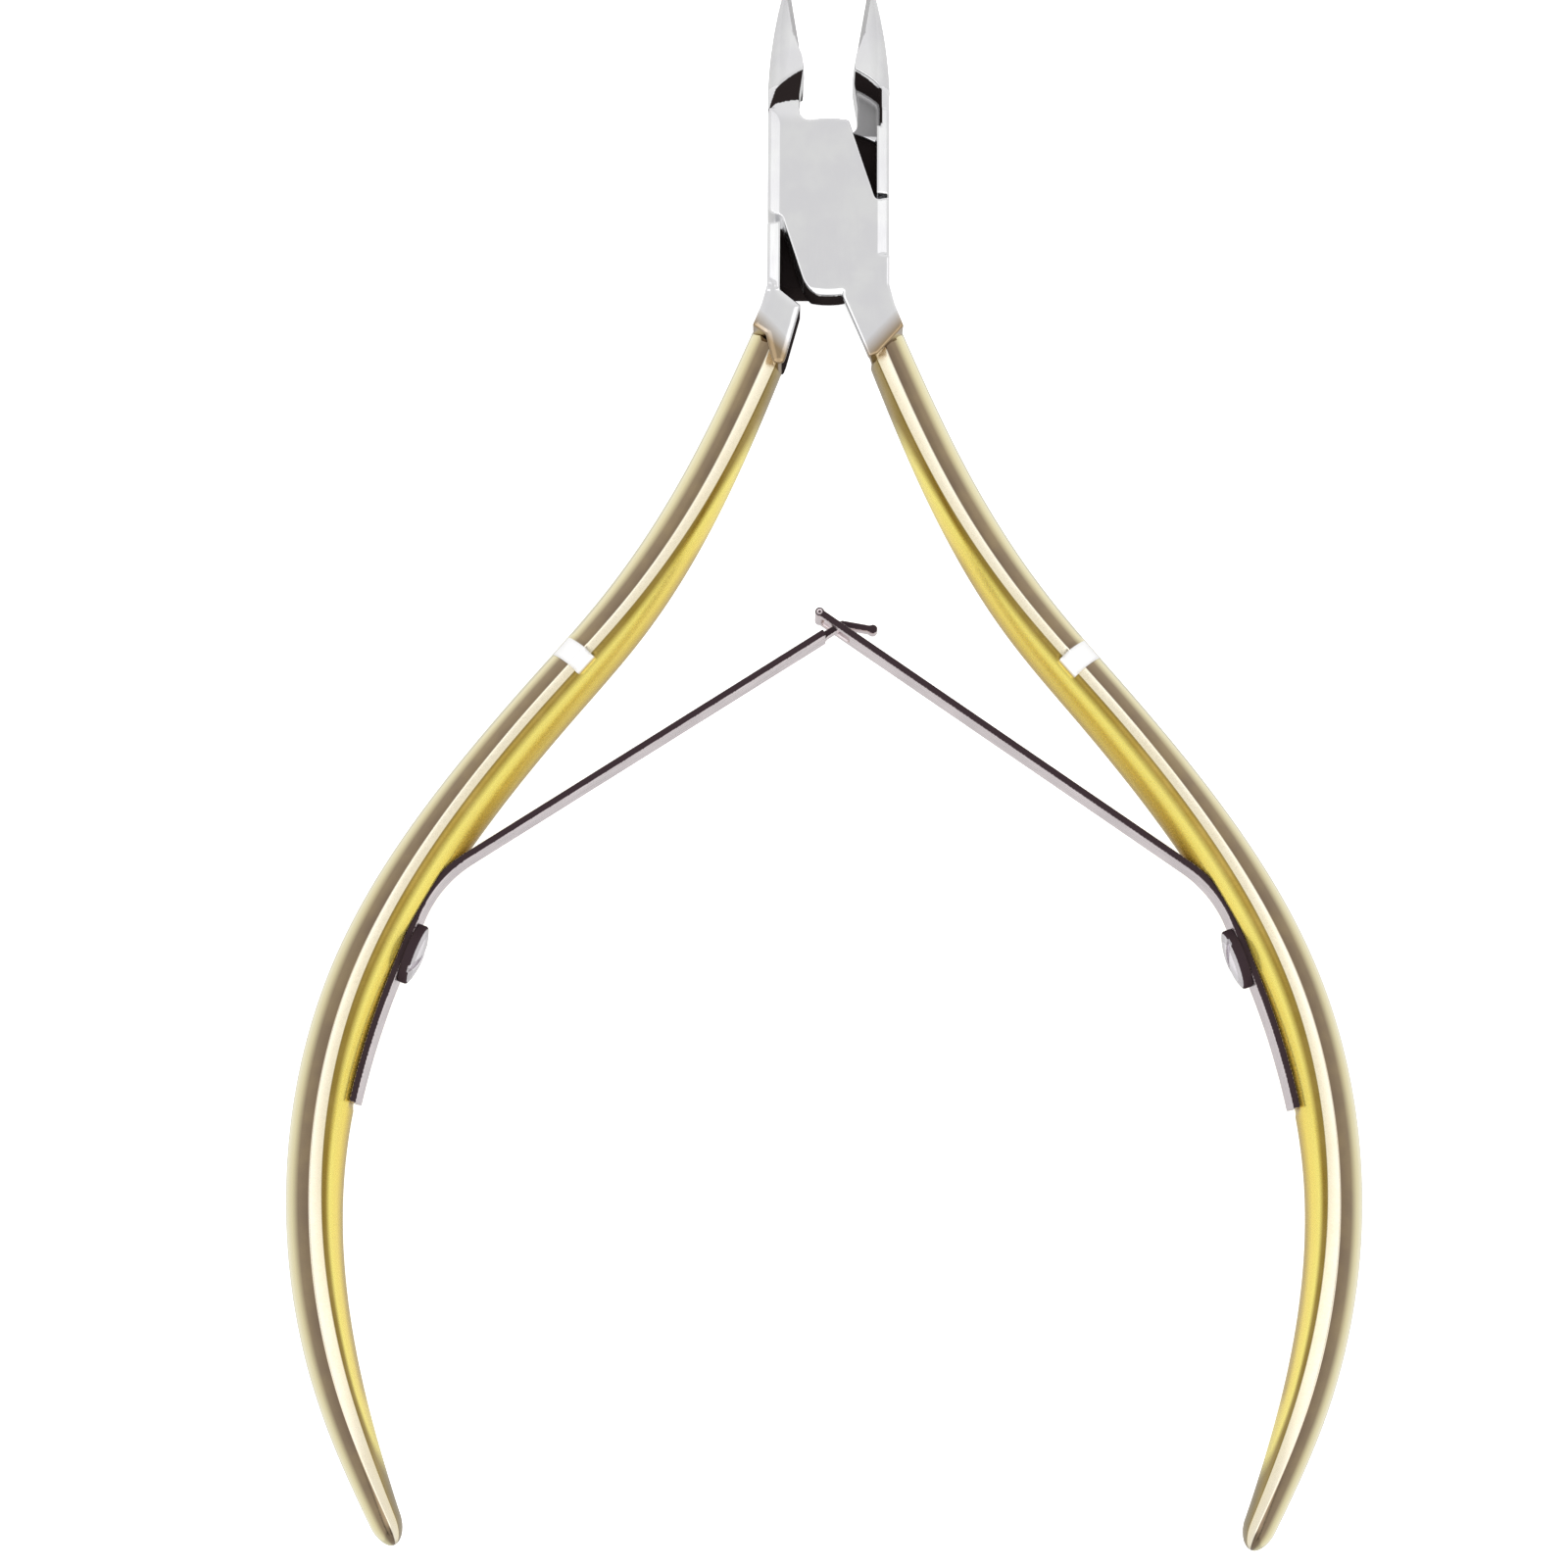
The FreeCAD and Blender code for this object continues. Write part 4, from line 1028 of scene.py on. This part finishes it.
def leaf_field(half):
    """A bent strip: the front one ends in a curl with a window before it, the rear one in a tongue."""
    line = leaf_line(half)
    arm = line["arm"]
    apex = LEAF_APEX[half]
    inner_end = apex - arm * CURL_PLACE if half == FRONT else apex + arm * TONGUE[1]
    tail = np.array(line["route"][-1])

    def field(x, y, z):
        along = (x - apex[0]) * arm[0] + (y - apex[1]) * arm[1]
        depth = np.abs(z - MID)
        plan = to_line(x, y, [tuple(inner_end)] + line["route"][1:]) - LEAF_THICKNESS / 2
        plan = meet(plan, (x - tail[0]) * line["tail"][0] + (y - tail[1]) * line["tail"][1])
        if half == FRONT:
            curl = np.hypot(x - inner_end[0], y - inner_end[1])
            strip = meet(np.minimum(plan, curl - CURL_RADIUS), depth - LEAF_WIDTH / 2, LEAF_ROUNDING)
            strip = carve(strip, curl - CURL_EYE)
            window = meet(between(along, *WINDOW), depth - WINDOW_HALF, 0.15)
            return carve(strip, window, 0.05)
        strip = meet(meet(plan, TONGUE[1] - along), depth - LEAF_WIDTH / 2, LEAF_ROUNDING)
        knee = apex + arm * TONGUE[0]
        tip = knee + TONGUE_TIP
        inside_strip = inner_end + arm * 0.5
        tongue = to_line(x, y, [tuple(tip), tuple(knee), tuple(inside_strip)]) - LEAF_THICKNESS / 2
        bead = past_circle(x, y, (*tip, TONGUE_BEAD))
        tongue = meet(np.minimum(tongue, bead), depth - TONGUE_HALF, LEAF_ROUNDING)
        return join(strip, tongue, 0.12)
    return field


def leaf_edge_shade(points, half):
    """1 on the leaf's edges, where dark shade is painted, and 0 on its faces and in the eye of its
    curl.
    """
    arm = leaf_line(half)["arm"]
    height = np.abs(points[:, 2] - MID)
    gap = points[:, :2] - LEAF_APEX[half]
    along = gap @ arm
    if half == FRONT:
        eye = np.hypot(*(gap + arm * CURL_PLACE).T) < CURL_EYE + 0.08
        return ((height > LEAF_WIDTH / 2 - EDGE_SHADE_BAND) & ~eye).astype(float)
    narrow = (along < TONGUE[1] + 0.1) & (height > TONGUE_HALF - 0.01)
    return ((height > LEAF_WIDTH / 2 - EDGE_SHADE_BAND) | narrow).astype(float)


def build_leaf(half, materials, step=0.07):
    points, quads = surface_of(leaf_field(half), (-4.0, -61.0, 1.3), (31.6, -26.4, 4.7), step)
    # dark shade painted along the leaf's edges
    edge_shade = leaf_edge_shade(points, half)
    piece = make_piece(half + "_leaf", points, quads, half, materials["leaf"], {"painted_shade": edge_shade})
    line = leaf_line(half)
    hinge = line["hinge"]
    before = hinge + line["base"] * BLEND_REACH
    after = hinge - line["arm"] * BLEND_REACH
    ends = [np.array([*spot, MID]) for spot in (before, after)]
    if half == REAR:
        ends = [turned(spot) for spot in ends]
    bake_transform(piece)
    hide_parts(HAND[half] + "_leaf_base", HAND[half] + "_leaf_arm")


def leaf_screw_field(x, y, z):
    """A round head with a domed, slotted face, standing along z from the leaf."""
    radius = np.hypot(x, y)
    dome = np.sqrt(radius ** 2 + (z + DOME_DROP) ** 2) - DOME_RADIUS
    head = meet(meet(radius - LEAF_SCREW_RADIUS, -z, 0.05), dome, 0.12)
    beside = np.abs(x * SCREW_SLOT_ACROSS[0] + y * SCREW_SLOT_ACROSS[1]) - SCREW_SLOT_HALF
    head = carve(head, meet(beside, SCREW_SLOT_FLOOR - z, 0.04), 0.04)
    shank = meet(radius - SHANK_RADIUS, between(z, -SHANK_LENGTH, 0.1))
    return join(head, shank)


def build_leaf_screw(half, materials, step=0.05):
    points, quads = surface_of(leaf_screw_field, (-2.2, -2.2, -1.4), (2.2, 2.2, 1.2), step)
    radius = np.hypot(points[:, 0], points[:, 1])
    # shade painted on the head, darkest at its rim
    rim = np.select([radius > PAINTED_DARK_RIM[0], radius > SHADED_RIM[0]], [PAINTED_DARK_RIM[1], SHADED_RIM[1]], 0.0)
    base = leaf_line(half)["base"]
    inward = Vector((base[1], -base[0], 0))
    up = Vector((0, 0, 1))
    axes = Matrix((up.cross(inward), up, inward)).transposed()
    face = np.array([*(LEAF_SCREW + np.array(inward[:2]) * LEAF_THICKNESS / 2), MID])
    points = points @ np.array(axes).T + face
    piece = make_piece(half + "_leaf_screw", points, quads, half, materials["screw"], {"painted_shade": rim})
    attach(piece, BODY[half])
    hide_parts(HAND[half] + "_leaf_screw")


# ---------------------------------------------------------------- run

bpy.context.scene.view_settings.view_transform = "Standard"
make_camera()
make_world()
make_floor()
materials = make_materials()
build_pivot_screw(materials)
for half in (FRONT, REAR):
    build_head(half, materials)
    build_handle(half, materials)
    build_leaf(half, materials)
    build_leaf_screw(half, materials)
